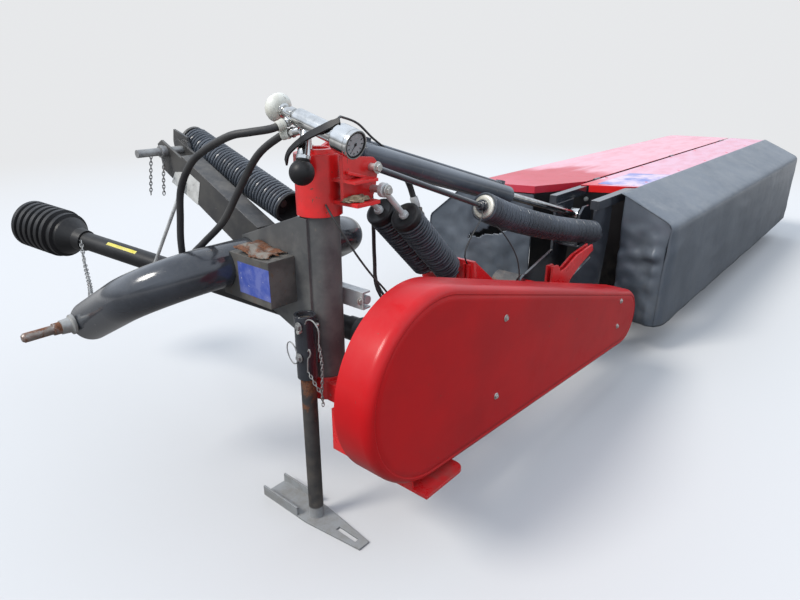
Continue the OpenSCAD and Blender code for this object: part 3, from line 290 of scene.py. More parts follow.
# Paint and faded colours, roughness clean and dirty, and what differs from the usual
looks = dict(
    blackPaint=dict(paint=(0.02, 0.023, 0.03), faded=(0.04, 0.045, 0.055), rough=(0.17, 0.4), dust=0.14,
        chips=0.06, coat=0.5, edge=(0.004, 0.4)),
    # black paint lifted to a lighter blue-grey, partly the barrel's own paint and partly a painted highlight
    # for the sky along its top
    barrelPaintAndHighlight=dict(paint=(0.048, 0.058, 0.074), faded=(0.078, 0.092, 0.114), rough=(0.24, 0.4), dust=0.12,
        chips=0.05, coat=0.3),
    postPaint=dict(paint=(0.07, 0.072, 0.074), faded=(0.125, 0.125, 0.122), rough=(0.36, 0.7), dust=0.4,
        chips=0.2, scale=9.0, chip=(0.13, 0.12, 0.11), edge=(0.004, 0.7)),
    mastPaint=dict(paint=(0.028, 0.028, 0.03), faded=(0.052, 0.05, 0.047), rough=(0.38, 0.7), dust=0.32,
        chips=0.15, scale=9.0, chip=(0.13, 0.12, 0.11), edge=(0.004, 0.7)),
    boxPaint=dict(paint=(0.062, 0.06, 0.056), faded=(0.105, 0.1, 0.092), rough=(0.5, 0.85), dust=0.65,
        chips=0.3, scale=12.0, rust=0.4, rustScale=9.0, edge=(0.004, 0.6)),
    tornSteel=dict(paint=(0.13, 0.115, 0.095), faded=(0.2, 0.18, 0.15), rough=(0.6, 0.9), dust=0.6, chips=0.3,
        scale=15.0, rust=0.56, rustScale=16.0, bump=0.5),
    redPaint=dict(paint=(0.66, 0.012, 0.016), faded=(0.52, 0.018, 0.02), rough=(0.26, 0.6), dust=0.22, coat=0.3,
        chip=(0.2, 0.11, 0.08), scale=6.0, edge=(0.003, 0.35)),
    wornRed=dict(paint=(0.74, 0.01, 0.012), faded=(0.58, 0.014, 0.014), rough=(0.28, 0.7), dust=0.22, chips=0.2,
        coat=0.3, chip=(0.11, 0.055, 0.035), scale=11.0, edge=(0.003, 0.6)),
    coverRed=dict(paint=(0.5, 0.004, 0.007), faded=(0.4, 0.005, 0.008), rough=(0.3, 0.5), dust=0.05, mud=0.06,
        chips=0.0, coat=0.1, specular=0.25, bump=0.05, scale=2.2),
    deckRed=dict(paint=(0.52, 0.018, 0.035), faded=(0.58, 0.05, 0.085), rough=(0.35, 0.6), dust=0.12, chips=0.0,
        coat=0.2, scale=1.7, bump=0.08, edge=(0.003, 0.0), bleached=((0.8, 0.4, 0.47), 0.02, 0.36)),
    rearRed=dict(paint=(0.62, 0.012, 0.02), faded=(0.58, 0.03, 0.05), rough=(0.35, 0.6), dust=0.12, chips=0.0,
        coat=0.2, scale=1.7, bump=0.08, edge=(0.003, 0.0), bleached=((0.72, 0.4, 0.5), -0.55, -0.15)),
    lipRed=dict(paint=(0.72, 0.012, 0.012), faded=(0.66, 0.02, 0.02), rough=(0.3, 0.5), dust=0.05, chips=0.03,
        coat=0.3, scale=4.0, chip=(0.3, 0.12, 0.1)),
    galvanised=dict(paint=(0.62, 0.63, 0.62), faded=(0.48, 0.49, 0.49), rough=(0.36, 0.6), metal=0.25,
        scale=18.0, dust=0.3, edge=(0.002, 0.0)),
    dullZinc=dict(paint=(0.34, 0.345, 0.34), faded=(0.22, 0.22, 0.22), rough=(0.42, 0.7), metal=0.4, scale=14.0,
        dust=0.4, mud=0.35, rust=0.38, rustScale=16.0, edge=(0.002, 0.0)),
    chrome=dict(paint=(0.7, 0.7, 0.69), faded=(0.5, 0.5, 0.49), rough=(0.13, 0.38), metal=1.0, scale=26.0,
        dust=0.3, bump=0.06, chips=0.12, chip=(0.16, 0.13, 0.11)),
    creamCap=dict(paint=(0.72, 0.72, 0.66), faded=(0.58, 0.57, 0.5), rough=(0.35, 0.6), scale=18.0, dust=0.3,
        chips=0.08, chip=(0.25, 0.24, 0.2), bump=0.1),
    zincCap=dict(paint=(0.52, 0.51, 0.46), faded=(0.38, 0.37, 0.32), rough=(0.4, 0.6), metal=0.35, scale=22.0),
    dialGrey=dict(paint=(0.36, 0.37, 0.38), faded=(0.3, 0.305, 0.31), rough=(0.25, 0.45), dust=0.2, chips=0.0,
        scale=60.0, bump=0.03),
    pinSteel=dict(paint=(0.34, 0.31, 0.29), faded=(0.22, 0.18, 0.15), rough=(0.38, 0.7), metal=0.7, rust=0.56,
        rustScale=22.0, scale=16.0, edge=(0.002, 0.0)),
    paleSleeve=dict(paint=(0.42, 0.42, 0.41), faded=(0.3, 0.29, 0.27), rough=(0.42, 0.7), metal=0.5, rust=0.38,
        rustScale=30.0, scale=20.0),
    legSteel=dict(paint=(0.034, 0.034, 0.036), faded=(0.062, 0.058, 0.054), rough=(0.5, 0.8), metal=0.1,
        foot=((0.27, 0.28, 0.285), 0.04, 0.046), rust=0.34, rustScale=13.0, scale=11.0, rise=(0.22, 0.5),
        edge=(0.002, 0.3)),
    bareSteel=dict(paint=(0.12, 0.11, 0.1), faded=(0.19, 0.17, 0.15), rough=(0.45, 0.8), metal=0.5, rust=0.5,
        rustScale=15.0, mud=0.8, scale=10.0, edge=(0.003, 0.2)),
    castIron=dict(paint=(0.045, 0.045, 0.047), faded=(0.08, 0.075, 0.07), rough=(0.6, 0.9), dust=0.7, rust=0.42,
        bump=0.6, scale=12.0, edge=(0.005, 0.2)),
    springPaint=dict(paint=(0.03, 0.036, 0.046), faded=(0.055, 0.066, 0.084), rough=(0.27, 0.4), dust=0.1,
        chips=0.0, dustColour=(0.1, 0.1, 0.1), bump=0.1),
    # spring paint lightened to blue-grey for the mast spring alone, partly its paint and partly a painted
    # highlight on its turns
    coilPaintAndHighlight=dict(paint=(0.048, 0.056, 0.068), faded=(0.085, 0.098, 0.118), rough=(0.28, 0.42), dust=0.1,
        chips=0.0, bump=0.1),
    blackPlastic=dict(paint=(0.007, 0.007, 0.008), faded=(0.013, 0.013, 0.014), rough=(0.42, 0.7), dust=0.07,
        specular=0.3, chips=0.0, bump=0.12),
    # painted shade: a matt near-black for the cores that fill the springs, so the gaps between turns and the
    # recessed ends read as shade
    paintedShadeBlack=dict(paint=(0.006, 0.006, 0.007), faded=(0.01, 0.01, 0.011), rough=(0.7, 0.9), dust=0.05,
        chips=0.0, bump=0.1),
    rubber=dict(paint=(0.016, 0.016, 0.018), faded=(0.034, 0.033, 0.032), rough=(0.5, 0.8), dust=0.45,
        chips=0.0, dustColour=(0.14, 0.128, 0.11)),
    tapeWrap=dict(paint=(0.085, 0.072, 0.058), faded=(0.2, 0.175, 0.145), rough=(0.6, 0.85), dust=0.5,
        chips=0.4, chip=(0.045, 0.035, 0.03), scale=60.0, bump=0.6),
    greyCloth=dict(paint=(0.074, 0.09, 0.112), faded=(0.105, 0.122, 0.145), rough=(0.36, 0.6), dust=0.6,
        chips=0.0, mud=0.25, scale=2.6, bump=0.12, dustColour=(0.235, 0.245, 0.255), threads=260.0),
    flapCloth=dict(paint=(0.105, 0.106, 0.11), faded=(0.195, 0.19, 0.184), rough=(0.26, 0.55), dust=0.6,
        chips=0.0, scale=4.5, bump=0.14, dustColour=(0.25, 0.24, 0.225), threads=260.0),
    blueLabel=dict(paint=(0.05, 0.085, 0.36), faded=(0.13, 0.16, 0.42), rough=(0.35, 0.6), dust=0.4, chips=0.22,
        chip=(0.55, 0.55, 0.58), scale=26.0),
    fadedLabel=dict(paint=(0.16, 0.2, 0.48), faded=(0.66, 0.52, 0.62), rough=(0.4, 0.6), dust=0.1, chips=0.0,
        scale=9.0),
    yellowLabel=dict(paint=(0.62, 0.52, 0.04), faded=(0.7, 0.62, 0.14), rough=(0.4, 0.6), dust=0.4, chips=0.2,
        scale=26.0),
    whiteLabel=dict(paint=(0.58, 0.58, 0.56), faded=(0.44, 0.44, 0.42), rough=(0.5, 0.7), dust=0.5, chips=0.3,
        chip=(0.2, 0.2, 0.2), scale=24.0),
    driedDirt=dict(paint=(0.17, 0.13, 0.08), faded=(0.34, 0.28, 0.19), rough=(0.9, 0.95), dust=0.3, scale=60.0,
        bump=1.0),
    boltZinc=dict(paint=(0.6, 0.6, 0.57), faded=(0.44, 0.43, 0.4), rough=(0.32, 0.6), metal=0.6, scale=40.0,
        dust=0.2, rust=0.34, rustScale=40.0),
)
finishes = {name: painted(name, look) for name, look in looks.items()}
print("materials made:", len(finishes))

# What each CAD node is finished in
nodeFinishes = {
    "blackPaint": ["hitch_yoke", "stand_sleeve", "guard_frame", "front_rail", "inner_frame"],
    # the lift barrel takes the black paint lightened as a painted highlight
    "barrelPaintAndHighlight": ["lift_barrel"],
    "postPaint": ["pivot_post"],
    "mastPaint": ["top_link_mast"],
    "boxPaint": ["post_box"],
    "pinSteel": ["left_lower_pin", "right_lower_pin", "pto_shaft", "drive_hub"],
    "galvanised": ["pto_rest", "strut"],
    "dullZinc": ["top_link_pin"],
    "redPaint": ["swing_shaft", "swing_bracket", "boom_arm", "belt_plate"],
    "wornRed": ["swing_head"],
    "coverRed": ["belt_cover"],
    "deckRed": ["front_panel"],
    "rearRed": ["rear_panel"],
    "castIron": ["input_housing", "drive_gearbox"],
    "springPaint": ["mast_spring", "short_springs", "long_spring"],
    "chrome": ["accumulator", "gauge", "lift_rod"],
    "blackPlastic": ["pto_guard", "pto_cone", "lever"],
    "rubber": ["hose_a", "hose_b", "hose_c"],
    "bareSteel": ["cutter_bar"] + ["disc_%d" % number for number in range(1, 8)],
    "legSteel": ["stand_leg"],
    "greyCloth": ["rear_curtain", "end_curtain", "front_curtain"],
}
for finish, names in nodeFinishes.items():
    for name in names:
        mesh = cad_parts[name].data
        mesh.materials.clear()
        mesh.materials.append(finishes[finish])


# The record's slot that each added finish belongs to
slotFinishes = {
    "rubber": ["rubber", "tapeWrap"],
    "galvanised": ["galvanised", "chrome", "creamCap", "dialGrey", "dullZinc"],
    "spring_paint": ["coilPaintAndHighlight", "springPaint", "zincCap", "blackPaint"],
    "black_plastic": ["blackPlastic", "paintedShadeBlack", "yellowLabel"],
    "pin_steel": ["boltZinc", "paleSleeve"],
    "red_paint": ["wornRed", "coverRed"],
    "deck_red": ["deckRed", "lipRed", "fadedLabel"],
    "grey_paint": ["tornSteel"],
    "cast": ["driedDirt"],
    "curtain": ["greyCloth"],
}
slots = {finish: slot for slot, names in slotFinishes.items() for finish in names}


# Mesh helpers
def settle(name, bm, finish, body, **options):
    bmesh.ops.remove_doubles(bm, verts=bm.verts, dist=1e-6)
    bmesh.ops.dissolve_degenerate(bm, edges=bm.edges, dist=1e-7)
    bmesh.ops.recalc_face_normals(bm, faces=bm.faces)
    mesh = bpy.data.meshes.new(name)
    bm.to_mesh(mesh)
    bm.free()
    return place(name, mesh, finish, body, **options)


def place(name, mesh, finish, body, replaced=(), slot=None, smooth=35, bevel=0.0, extra=()):
    piece = bpy.data.objects.new(name, mesh)
    scene.collection.objects.link(piece)
    mesh.materials.clear()
    for one in [finish, *extra]:
        mesh.materials.append(finishes[one])
    if bevel:
        rounding = piece.modifiers.new("rounding", "BEVEL")
        rounding.width = bevel
        rounding.segments = 2
        rounding.limit_method = "ANGLE"
        rounding.angle_limit = radians(40)
    for polygon in mesh.polygons:
        polygon.use_smooth = True
    mesh.set_sharp_from_angle(angle=radians(smooth))
    if body:
        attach(piece, body)
    if replaced:
        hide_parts(*replaced)
    slot = slot or slots.get(finish)
    return piece


def thicken(piece, thickness):
    shell = piece.modifiers.new("thickness", "SOLIDIFY")
    shell.thickness = thickness
    shell.offset = 0


def addRod(bm, start, end, radius, endRadius=None, segments=24):
    span = end - start
    matrix = Matrix.Translation((start + end) / 2) @ span.to_track_quat("Z", "Y").to_matrix().to_4x4()
    bmesh.ops.create_cone(bm, cap_ends=True, segments=segments, radius1=radius / 1000,
                          radius2=(endRadius or radius) / 1000, depth=span.length, matrix=matrix)


def addTurned(bm, start, way, profile, segments=36):
    # (distance, radius) pairs spun about a line; one that doesn't start and end on the line closes on itself
    way = way.normalized()
    side = way.orthogonal().normalized()
    verts = [bm.verts.new(start + way * distance / 1000 + side * radius / 1000) for distance, radius in profile]
    lines = [bm.edges.new(pair) for pair in zip(verts, verts[1:])]
    if profile[0][1] > 0 or profile[-1][1] > 0:
        lines.append(bm.edges.new((verts[-1], verts[0])))
    bmesh.ops.spin(bm, geom=verts + lines, cent=start, axis=way, angle=2 * pi, steps=segments, use_merge=True)


def turned(name, start, way, profile, finish, body, segments=36, **options):
    bm = bmesh.new()
    addTurned(bm, start, way, profile, segments)
    return settle(name, bm, finish, body, **options)


def plates(name, outlines, thickness, finish, body, **options):
    # flat outlines of places, given their thickness along one direction
    bm = bmesh.new()
    for outline in outlines:
        face = bm.faces.new([bm.verts.new(corner) for corner in outline])
        made = bmesh.ops.extrude_face_region(bm, geom=[face])["geom"]
        far = [item for item in made if isinstance(item, bmesh.types.BMVert)]
        bmesh.ops.translate(bm, verts=far, vec=thickness)
    return settle(name, bm, finish, body, **options)


def tubes(name, lines, radius, finish, body, sides=2, closed=False, thickness=None, **options):
    # one tube of round section along each line of points
    curve = bpy.data.curves.new(name, "CURVE")
    curve.dimensions = "3D"
    curve.bevel_depth = radius / 1000
    curve.bevel_resolution = sides
    curve.use_fill_caps = True
    for line in lines:
        spline = curve.splines.new("POLY")
        spline.points.add(len(line) - 1)
        for index, point in enumerate(line):
            spline.points[index].co = (*point, 1)
            if thickness:
                spline.points[index].radius = thickness[index]
        spline.use_cyclic_u = closed
    holder = bpy.data.objects.new(name, curve)
    scene.collection.objects.link(holder)
    bpy.context.view_layer.update()
    mesh = bpy.data.meshes.new_from_object(holder.evaluated_get(bpy.context.evaluated_depsgraph_get()))
    bpy.data.objects.remove(holder)
    bpy.data.curves.remove(curve)
    mesh.name = name
    return place(name, mesh, finish, body, **options)


def bend(points, steps):
    # the smooth curve that the CAD source runs through a route's points
    line = []
    last = len(points) - 1
    for index in range(last):
        a, b = points[max(index - 1, 0)], points[index]
        c, d = points[index + 1], points[min(index + 2, last)]
        for step in range(steps):
            t = step / steps
            line.append(0.5 * (2 * b + (c - a) * t + (2 * a - 5 * b + 4 * c - d) * t * t
                               + (3 * b - a - 3 * c + d) * t * t * t))
    return line + [points[-1]]


def lineLength(line):
    return sum((b - a).length for a, b in zip(line, line[1:]))


def pointOn(line, share):
    # the place at a share of the way along a line, and the direction there
    way = share * lineLength(line)
    for a, b in zip(line, line[1:]):
        span = (b - a).length
        if way <= span or b is line[-1]:
            return a + (b - a) * (way / span), (b - a).normalized()
        way -= span


def chainLinks(line, pitch, wide):
    # the closed outline of each link of a chain, every second one turned a quarter
    count = max(2, round(lineLength(line) * 1000 / pitch))
    loops = []
    for number in range(count):
        middle, way = pointOn(line, (number + 0.5) / count)
        side = way.cross(Vector((0.3, 0.9, 0.2))).normalized()
        side = side if number % 2 else way.cross(side)
        loops.append([middle + way * cos(a) * pitch * 0.72 / 1000 + side * sin(a) * wide / 1000
                      for a in (pi * step / 7 for step in range(14))])
    return loops


def addHeads(bm, heads, size):
    # hexagon heads on washers
    for spot, direction in heads:
        start, way = at(*spot), Vector(direction).normalized()
        addRod(bm, start - way * 0.001, start + way * 0.0018, size * 1.45, segments=20)
        addRod(bm, start + way * 0.0017, start + way * size * 0.00085, size, size * 0.95, segments=6)


def bolts(name, heads, finish, body, size, **options):
    bm = bmesh.new()
    addHeads(bm, heads, size)
    settle(name, bm, finish, body, bevel=0.0007, **options)


def label(name, corners, out, finish, body):
    # a thin blank plate on a flat face
    way = Vector(out)
    plates(name, [[corner + way * 0.0003 for corner in allAt(corners)]], way * 0.0008, finish, body)


# Hoses, along the CAD's own routes
hoseRoutes = dict(
    hose_a=[(-86, 16, 1178), (-122, 26, 1166), (-160, 64, 1158), (-184, 115, 1147), (-190, 220, 1106),
        (-196, 290, 1062), (-201, 345, 989), (-202, 366, 905), (-204, 376, 840), (-204, 377, 775)],
    hose_b=[(-76, 10, 1154), (-88, 42, 1142), (-108, 110, 1092), (-126, 180, 996), (-149, 233, 908),
        (-170, 306, 841), (-187.8, 346.9, 800), (-190, 352, 775)],
    hose_c=[(116, 48, 1051), (210, 52, 1048), (300, 58, 1032), (370, 60, 1014), (415, 57, 990), (438, 50, 950),
        (447, 38, 905), (453, 16, 855), (464, -14, 785), (470, -42, 720), (472, -60, 668)],
)
hoseRadius = 10.0
hoseLines = {}
for node, route in hoseRoutes.items():
    line = hoseLines[node] = bend(allAt(route), 6)
    body = "swing_frame" if node == "hose_c" else None
    hose = tubes(node + "_rubber", [line], hoseRadius, "rubber", body, 4, replaced=[node])
    if not body:
        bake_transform(hose)

# crimped sleeves at two upper ends, and the taped lower end of the third hose with its ferrule
hoseEnds = dict(sleeveAt=0.004,
    sleeve=[(0, 10.1), (0, 12.6), (3, 13.6), (7, 13.6), (8, 12.6), (14, 12.6), (15, 13.4), (21, 12.8),
        (22, 10.1)], tape=(0.66, 0.93), turns=9, tapeRadius=13.4, ridges=0.13, lumps=0.08, ferruleAt=0.6,
    ferrule=[(0, 10.1), (0, 12.4), (1.5, 13.4), (30, 13.4), (32, 12.2), (52, 12.2), (53, 10.1)])
bm = bmesh.new()
for node in ("hose_a", "hose_b"):
    addTurned(bm, *pointOn(hoseLines[node], hoseEnds["sleeveAt"]), hoseEnds["sleeve"])
settle("hose_sleeves", bm, "creamCap", "swing_frame")
count = hoseEnds["turns"] * 4
first, last = hoseEnds["tape"]
wraps, thickness = [], []
for step in range(count + 1):
    wraps.append(pointOn(hoseLines["hose_c"], first + (last - first) * step / count)[0])
    thickness.append(1 + hoseEnds["ridges"] * sin(step * pi / 2 + 0.5)
                     + hoseEnds["lumps"] * noise.noise(Vector((step * 0.9, 3, 1))))
tubes("hose_tape", [wraps], hoseEnds["tapeRadius"], "tapeWrap", "swing_frame", 3, thickness=thickness,
      smooth=50)
turned("hose_ferrule", *pointOn(hoseLines["hose_c"], hoseEnds["ferruleAt"]), hoseEnds["ferrule"], "galvanised",
       "swing_frame")
print("hoses laid")


# Springs of wound wire
def coils(name, paths, spring, finish, body, perTurn=18, **options):
    lines = []
    for path in paths:
        count = spring["turns"] * perTurn
        line = []
        for step in range(count + 1):
            middle, along = pointOn(path, step / count)
            side = along.cross(Vector((0, 0, 1))).normalized()
            angle = 2 * pi * step / perTurn
            offset = cos(angle) * side + sin(angle) * side.cross(along)
            line.append(middle + (spring["outer"] - spring["wire"]) / 1000 * offset)
        lines.append(line)
    return tubes(name, lines, spring["wire"], finish, body, **options)


mastSpring = dict(near=(101.5, 250, 900.5), far=(97.5, 715, 1060), length=520, gaps=(7, 6), outer=52.5,
    wire=4.9, turns=38,
    core=[(0.5, 51), (0.5, 46), (2, 43), (40, 41), (40, 0), (505, 0), (505, 43), (20, 43.6), (6, 46), (6, 51)])
start = at(*mastSpring["near"])
axis = (at(*mastSpring["far"]) - start).normalized()
nearGap, farGap = mastSpring["gaps"]
path = [start + axis * nearGap / 1000, start + axis * (mastSpring["length"] - farGap) / 1000]
# the mast spring's wire takes the spring paint lightened as a painted highlight
coils("mast_spring_coil", [path], mastSpring, "coilPaintAndHighlight", "headstock", replaced=["mast_spring"])
# painted shade: a near-black core inside the coil shows through the gaps as the shade within the spring, with a
# dark recessed disc at its end
turned("mast_spring_shade_core", start, axis, mastSpring["core"], "paintedShadeBlack", "headstock", 40)

shortSprings = dict(pin=(100, 1005.3), end=(400, 714), sides=(-142, -48), coil=(136, 2), outer=45, wire=4.5,
    turns=24, rod=(12, 50, 8), nut=[(108, 8.05), (108, 12), (111, 13.5), (119, 13.5), (121, 8.05)],
    eye=[(-8, 10.4), (-8, 17), (-6.5, 19.5), (6.5, 19.5), (8, 17), (8, 10.4)],
    plug=[(120, 0), (120, 30), (118, 33), (118, 40), (120, 43.5), (124, 44.8), (136, 44.6), (139, 39.5),
        (400, 39.5), (400, 0)])
paths = []
rods, plugs = bmesh.new(), bmesh.new()
for side in shortSprings["sides"]:
    (x, z), (endX, endZ) = shortSprings["pin"], shortSprings["end"]
    top, low = at(x, side, z), at(endX, side, endZ)
    pull = (low - top).normalized()
    coilStart, coilGap = shortSprings["coil"]
    paths.append([top + pull * coilStart / 1000, low - pull * coilGap / 1000])
    rodStart, rodPast, rodRadius = shortSprings["rod"]
    addRod(rods, top + pull * rodStart / 1000, low + pull * rodPast / 1000, rodRadius)
    addTurned(rods, top, pull, shortSprings["nut"], 20)
    addTurned(rods, top, Vector((0, 1, 0)), shortSprings["eye"], 28)
    addTurned(plugs, top, pull, shortSprings["plug"], 32)
coils("short_spring_coils", paths, shortSprings, "springPaint", "swing_frame", replaced=["short_springs"])
settle("short_spring_rods", rods, "galvanised", "swing_frame", slot="spring_paint")
settle("short_spring_plugs", plugs, "blackPlastic", "swing_frame")

longSpring = dict(pin=(96, -110, 1062.3), outer=50, wire=5.3, turns=66, core=43.2, rod=(10.3, 20, 9),
    path=[(640, -112, 868), (760, -114, 820), (880, -118, 779), (1000, -122, 742), (1120, -128, 708),
        (1240, -134, 678), (1360, -142, 650), (1480, -152, 624)],
    nut=[(-36, 9.05), (-36, 14), (-34, 16), (-22, 16), (-20, 14), (-20, 22), (-17, 22), (-17, 9.05)],
    plug=[(-10, 0), (-10, 16), (-12, 19), (-12, 24), (-9, 27), (-9, 33), (-7.5, 38), (-3, 41), (12, 41),
        (12, 0)], ring=[(-2, 41.2), (-4, 45), (-2, 49.3), (4, 49.3), (6, 41.2)],
    end=[(-24, 0), (-24, 38), (-2, 41), (6, 37), (12, 27), (16, 14), (16, 0)])
sag = allAt(longSpring["path"])
sagLine = bend(sag, 6)
pin = at(*longSpring["pin"])
pull = (sag[0] - pin).normalized()
out = (sag[-1] - sag[-2]).normalized()
springParts = [
    coils("long_spring_coil", [sagLine], longSpring, "springPaint", None, replaced=["long_spring"]),
    # painted shade: a near-black core along the coil, wider than its inside, so the gaps between turns read as
    # shade
    tubes("long_spring_shade_core", [sagLine], longSpring["core"], "paintedShadeBlack", None, 4),
]
bm = bmesh.new()
rodStart, rodPast, rodRadius = longSpring["rod"]
addRod(bm, pin + pull * rodStart / 1000, sag[0] + pull * rodPast / 1000, rodRadius)
addTurned(bm, sag[0], pull, longSpring["nut"], 24)
springParts.append(settle("long_spring_rod", bm, "blackPaint", None))
for key, start, way, finish, segments in (("plug", sag[0], pull, "zincCap", 40),
                                          ("ring", sag[0], pull, "springPaint", 40),
                                          ("end", sag[-1], out, "blackPaint", 32)):
    springParts.append(turned("long_spring_" + key, start, way, longSpring[key], finish, None, segments))
for part in springParts:
    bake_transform(part)
print("springs wound")


# Accumulator with its mushroom cap, its pipes and the hoses' fittings
accumulator = dict(foot=(-60, -148, 1153), head=(-60, 99, 1219), nut=(161, 177, 19),
    body=[(0.5, 0), (0.5, 22), (2, 23), (8, 23), (9, 22), (11, 22), (12, 23), (146, 23), (150, 20), (151, 15),
        (160, 15), (160, 17.5), (178, 17.5), (179, 14), (200, 14), (203, 18), (206, 18), (206, 0)],
    cap=[(205, 0), (205, 20), (208, 27), (213, 33), (220, 36.6), (228, 36.8), (236, 34), (244, 28), (250, 20),
        (254, 10), (255.5, 0)],
    pipes=[((-38, -10, 1112.7), (-38, -10, 1174), 10, 24), ((-38, -10, 1114), (-38, -10, 1124), 15, 6),
        ((-64, -10, 1168.3), (-36, -10, 1168.3), 9, 24)], fittings=dict(hose_a=26, hose_b=28))
foot = at(*accumulator["foot"])
way = (at(*accumulator["head"]) - foot).normalized()
bm = bmesh.new()
addTurned(bm, foot, way, accumulator["body"], 40)
nutStart, nutEnd, nutRadius = accumulator["nut"]
addRod(bm, foot + way * nutStart / 1000, foot + way * nutEnd / 1000, nutRadius, segments=6)
for low, high, radius, segments in accumulator["pipes"]:
    addRod(bm, at(*low), at(*high), radius, segments=segments)
for node, length in accumulator["fittings"].items():
    first, second = hoseLines[node][:2]
    back = (second - first).normalized()
    addRod(bm, first - back * length / 1000, first - back * 0.0003, 11)
    addRod(bm, first - back * 0.012, first - back * 0.004, 13.5, segments=6)
settle("accumulator_body", bm, "chrome", "swing_frame", replaced=["accumulator"], bevel=0.0006)
turned("accumulator_cap", foot, way, accumulator["cap"], "creamCap", "swing_frame", 40, smooth=60)

# Pressure gauge: housing, bezel with ticks and needle, blank dial
gauge = dict(back=0.5, face=54.5, ticks=9, firstTick=215, sweep=250, tick=(19, 23.5, 0.9), needleAngle=120,
    needle=(5, 17, 1.3, 0.5), hub=(1.2, 3.2),
    housing=[(0, 0), (0, 32), (1, 34), (3, 34.8), (4, 34.9), (43, 34.9), (44, 34.9), (44.6, 33.6), (46, 33.4),
        (47.4, 33.6), (48, 34.9), (49, 34.9), (54, 34.9), (55.5, 34.4), (56, 33.6), (56, 31), (53, 30.4),
        (53, 0)], bezel=[(53.1, 30), (55.4, 30.2), (55.4, 27.6), (53.1, 27.2)],
    dial=[(53.2, 0), (53.2, 27.4), (53.0, 27.4), (53.0, 0)])
back = foot - way * gauge["back"] / 1000
turned("gauge_housing", back, -way, gauge["housing"], "chrome", "swing_frame", 48, replaced=["gauge"],
       smooth=30)
bm = bmesh.new()
addTurned(bm, back, -way, gauge["bezel"], 48)
face = foot - way * gauge["face"] / 1000
over = way.cross(Vector((1, 0, 0))).normalized()


def rayAt(degrees):
    return Vector((1, 0, 0)) * cos(radians(degrees)) + over * sin(radians(degrees))


tickStart, tickEnd, tickRadius = gauge["tick"]
for number in range(gauge["ticks"]):
    ray = rayAt(gauge["firstTick"] - gauge["sweep"] * number / (gauge["ticks"] - 1))
    addRod(bm, face + ray * tickStart / 1000, face + ray * tickEnd / 1000, tickRadius, segments=6)
needle, (tail, tip, tailRadius, tipRadius) = rayAt(gauge["needleAngle"]), gauge["needle"]
addRod(bm, face - needle * tail / 1000, face + needle * tip / 1000, tailRadius, tipRadius, segments=6)
hubHalf, hubRadius = gauge["hub"]
addRod(bm, face + way * hubHalf / 1000, face - way * hubHalf / 1000, hubRadius, segments=16)
settle("gauge_marks", bm, "blackPlastic", "swing_frame")
turned("gauge_dial", back, -way, gauge["dial"], "dialGrey", "swing_frame", 48)

# Shut-off lever, and the black strap over the accumulator
lever = dict(top=(-62, -37, 1174), ball=(-102, -56, 1066), ballRadius=31.8,
    stem=[(14, 0), (14, 12.5), (40, 14), (74, 17), (76, 18.5), (84, 18.5), (86, 16), (90, 15), (90, 0)],
    neck=[(-33, 12), (-33, 17), (-27, 18), (-21, 12)])
top, ball = at(*lever["top"]), at(*lever["ball"])
hang = (ball - top).normalized()
turned("lever_stem", top, hang, lever["stem"], "chrome", "swing_frame", 28, replaced=["lever"])
bm = bmesh.new()
bmesh.ops.create_uvsphere(bm, u_segments=36, v_segments=20, radius=lever["ballRadius"] / 1000,
                          matrix=Matrix.Translation(ball))
addTurned(bm, ball, hang, lever["neck"], 28)
settle("lever_ball", bm, "blackPlastic", "swing_frame", smooth=60)
strap = dict(path=[(-70, 42, 1078), (-84, 8, 1110), (-97, -62, 1146), (-86, -118, 1172), (-66, -158, 1192)],
    halfWidth=10, endHalfWidth=8, halfThickness=2.5, facing=(-0.8, -0.3, 0.6))
line = bend(allAt(strap["path"]), 6)
bm = bmesh.new()
rings = []
for index, point in enumerate(line):
    ahead = (line[min(index + 1, len(line) - 1)] - line[max(index - 1, 0)]).normalized()
    side = ahead.cross(Vector(strap["facing"])).normalized()
    thin = side.cross(ahead).normalized() * strap["halfThickness"] / 1000
    side *= (strap["halfWidth"] if index < len(line) - 3 else strap["endHalfWidth"]) / 1000
    rings.append([bm.verts.new(point + side * s + thin * t) for s, t in ((-1, -1), (1, -1), (1, 1), (-1, 1))])
for first, second in zip(rings, rings[1:]):
    for corner in range(4):
        following = (corner + 1) % 4
        bm.faces.new((first[corner], first[following], second[following], second[corner]))
for ring in (rings[0], rings[-1]):
    bm.faces.new(ring)
settle("lever_strap", bm, "blackPlastic", "swing_frame", smooth=50, bevel=0.0008)
print("accumulator dressed")

# The head's pins, the rib on its near plate and its pocket of dried dirt
headParts = dict(pins=[((100, -158, 1005.3), (100, -24.4, 1005.3)), ((96, -126, 1062.3), (96, -80, 1062.3))],
    pinRadius=10.15, boltSize=11,
    bolts=[((100, -157, 1005.3), (0, -1, 0)), ((96, -125, 1062.3), (0, -1, 0)), ((100, -44, 1100.3),
        (0, -1, 0))], rib=[(4, 1062), (88, 1038), (98, 1030), (98, 1024), (86, 1030), (2, 1054)],
    ribFrom=-100.2, ribDepth=12, dirt=(28, -112, 985.5), dirtSize=(42, 26, 13), lumps=((2.3, 0.35), (9, 0.16)))
bm = bmesh.new()
for near, far in headParts["pins"]:
    addRod(bm, at(*near), at(*far), headParts["pinRadius"])
addHeads(bm, headParts["bolts"], headParts["boltSize"])
settle("head_pins", bm, "boltZinc", "swing_frame", bevel=0.0008)
plates("head_rib", [[at(x, headParts["ribFrom"], z) for x, z in headParts["rib"]]],
       Vector((0, -headParts["ribDepth"] / 1000, 0)), "wornRed", "swing_frame", bevel=0.001)
bm = bmesh.new()
bmesh.ops.create_icosphere(bm, subdivisions=4, radius=1)
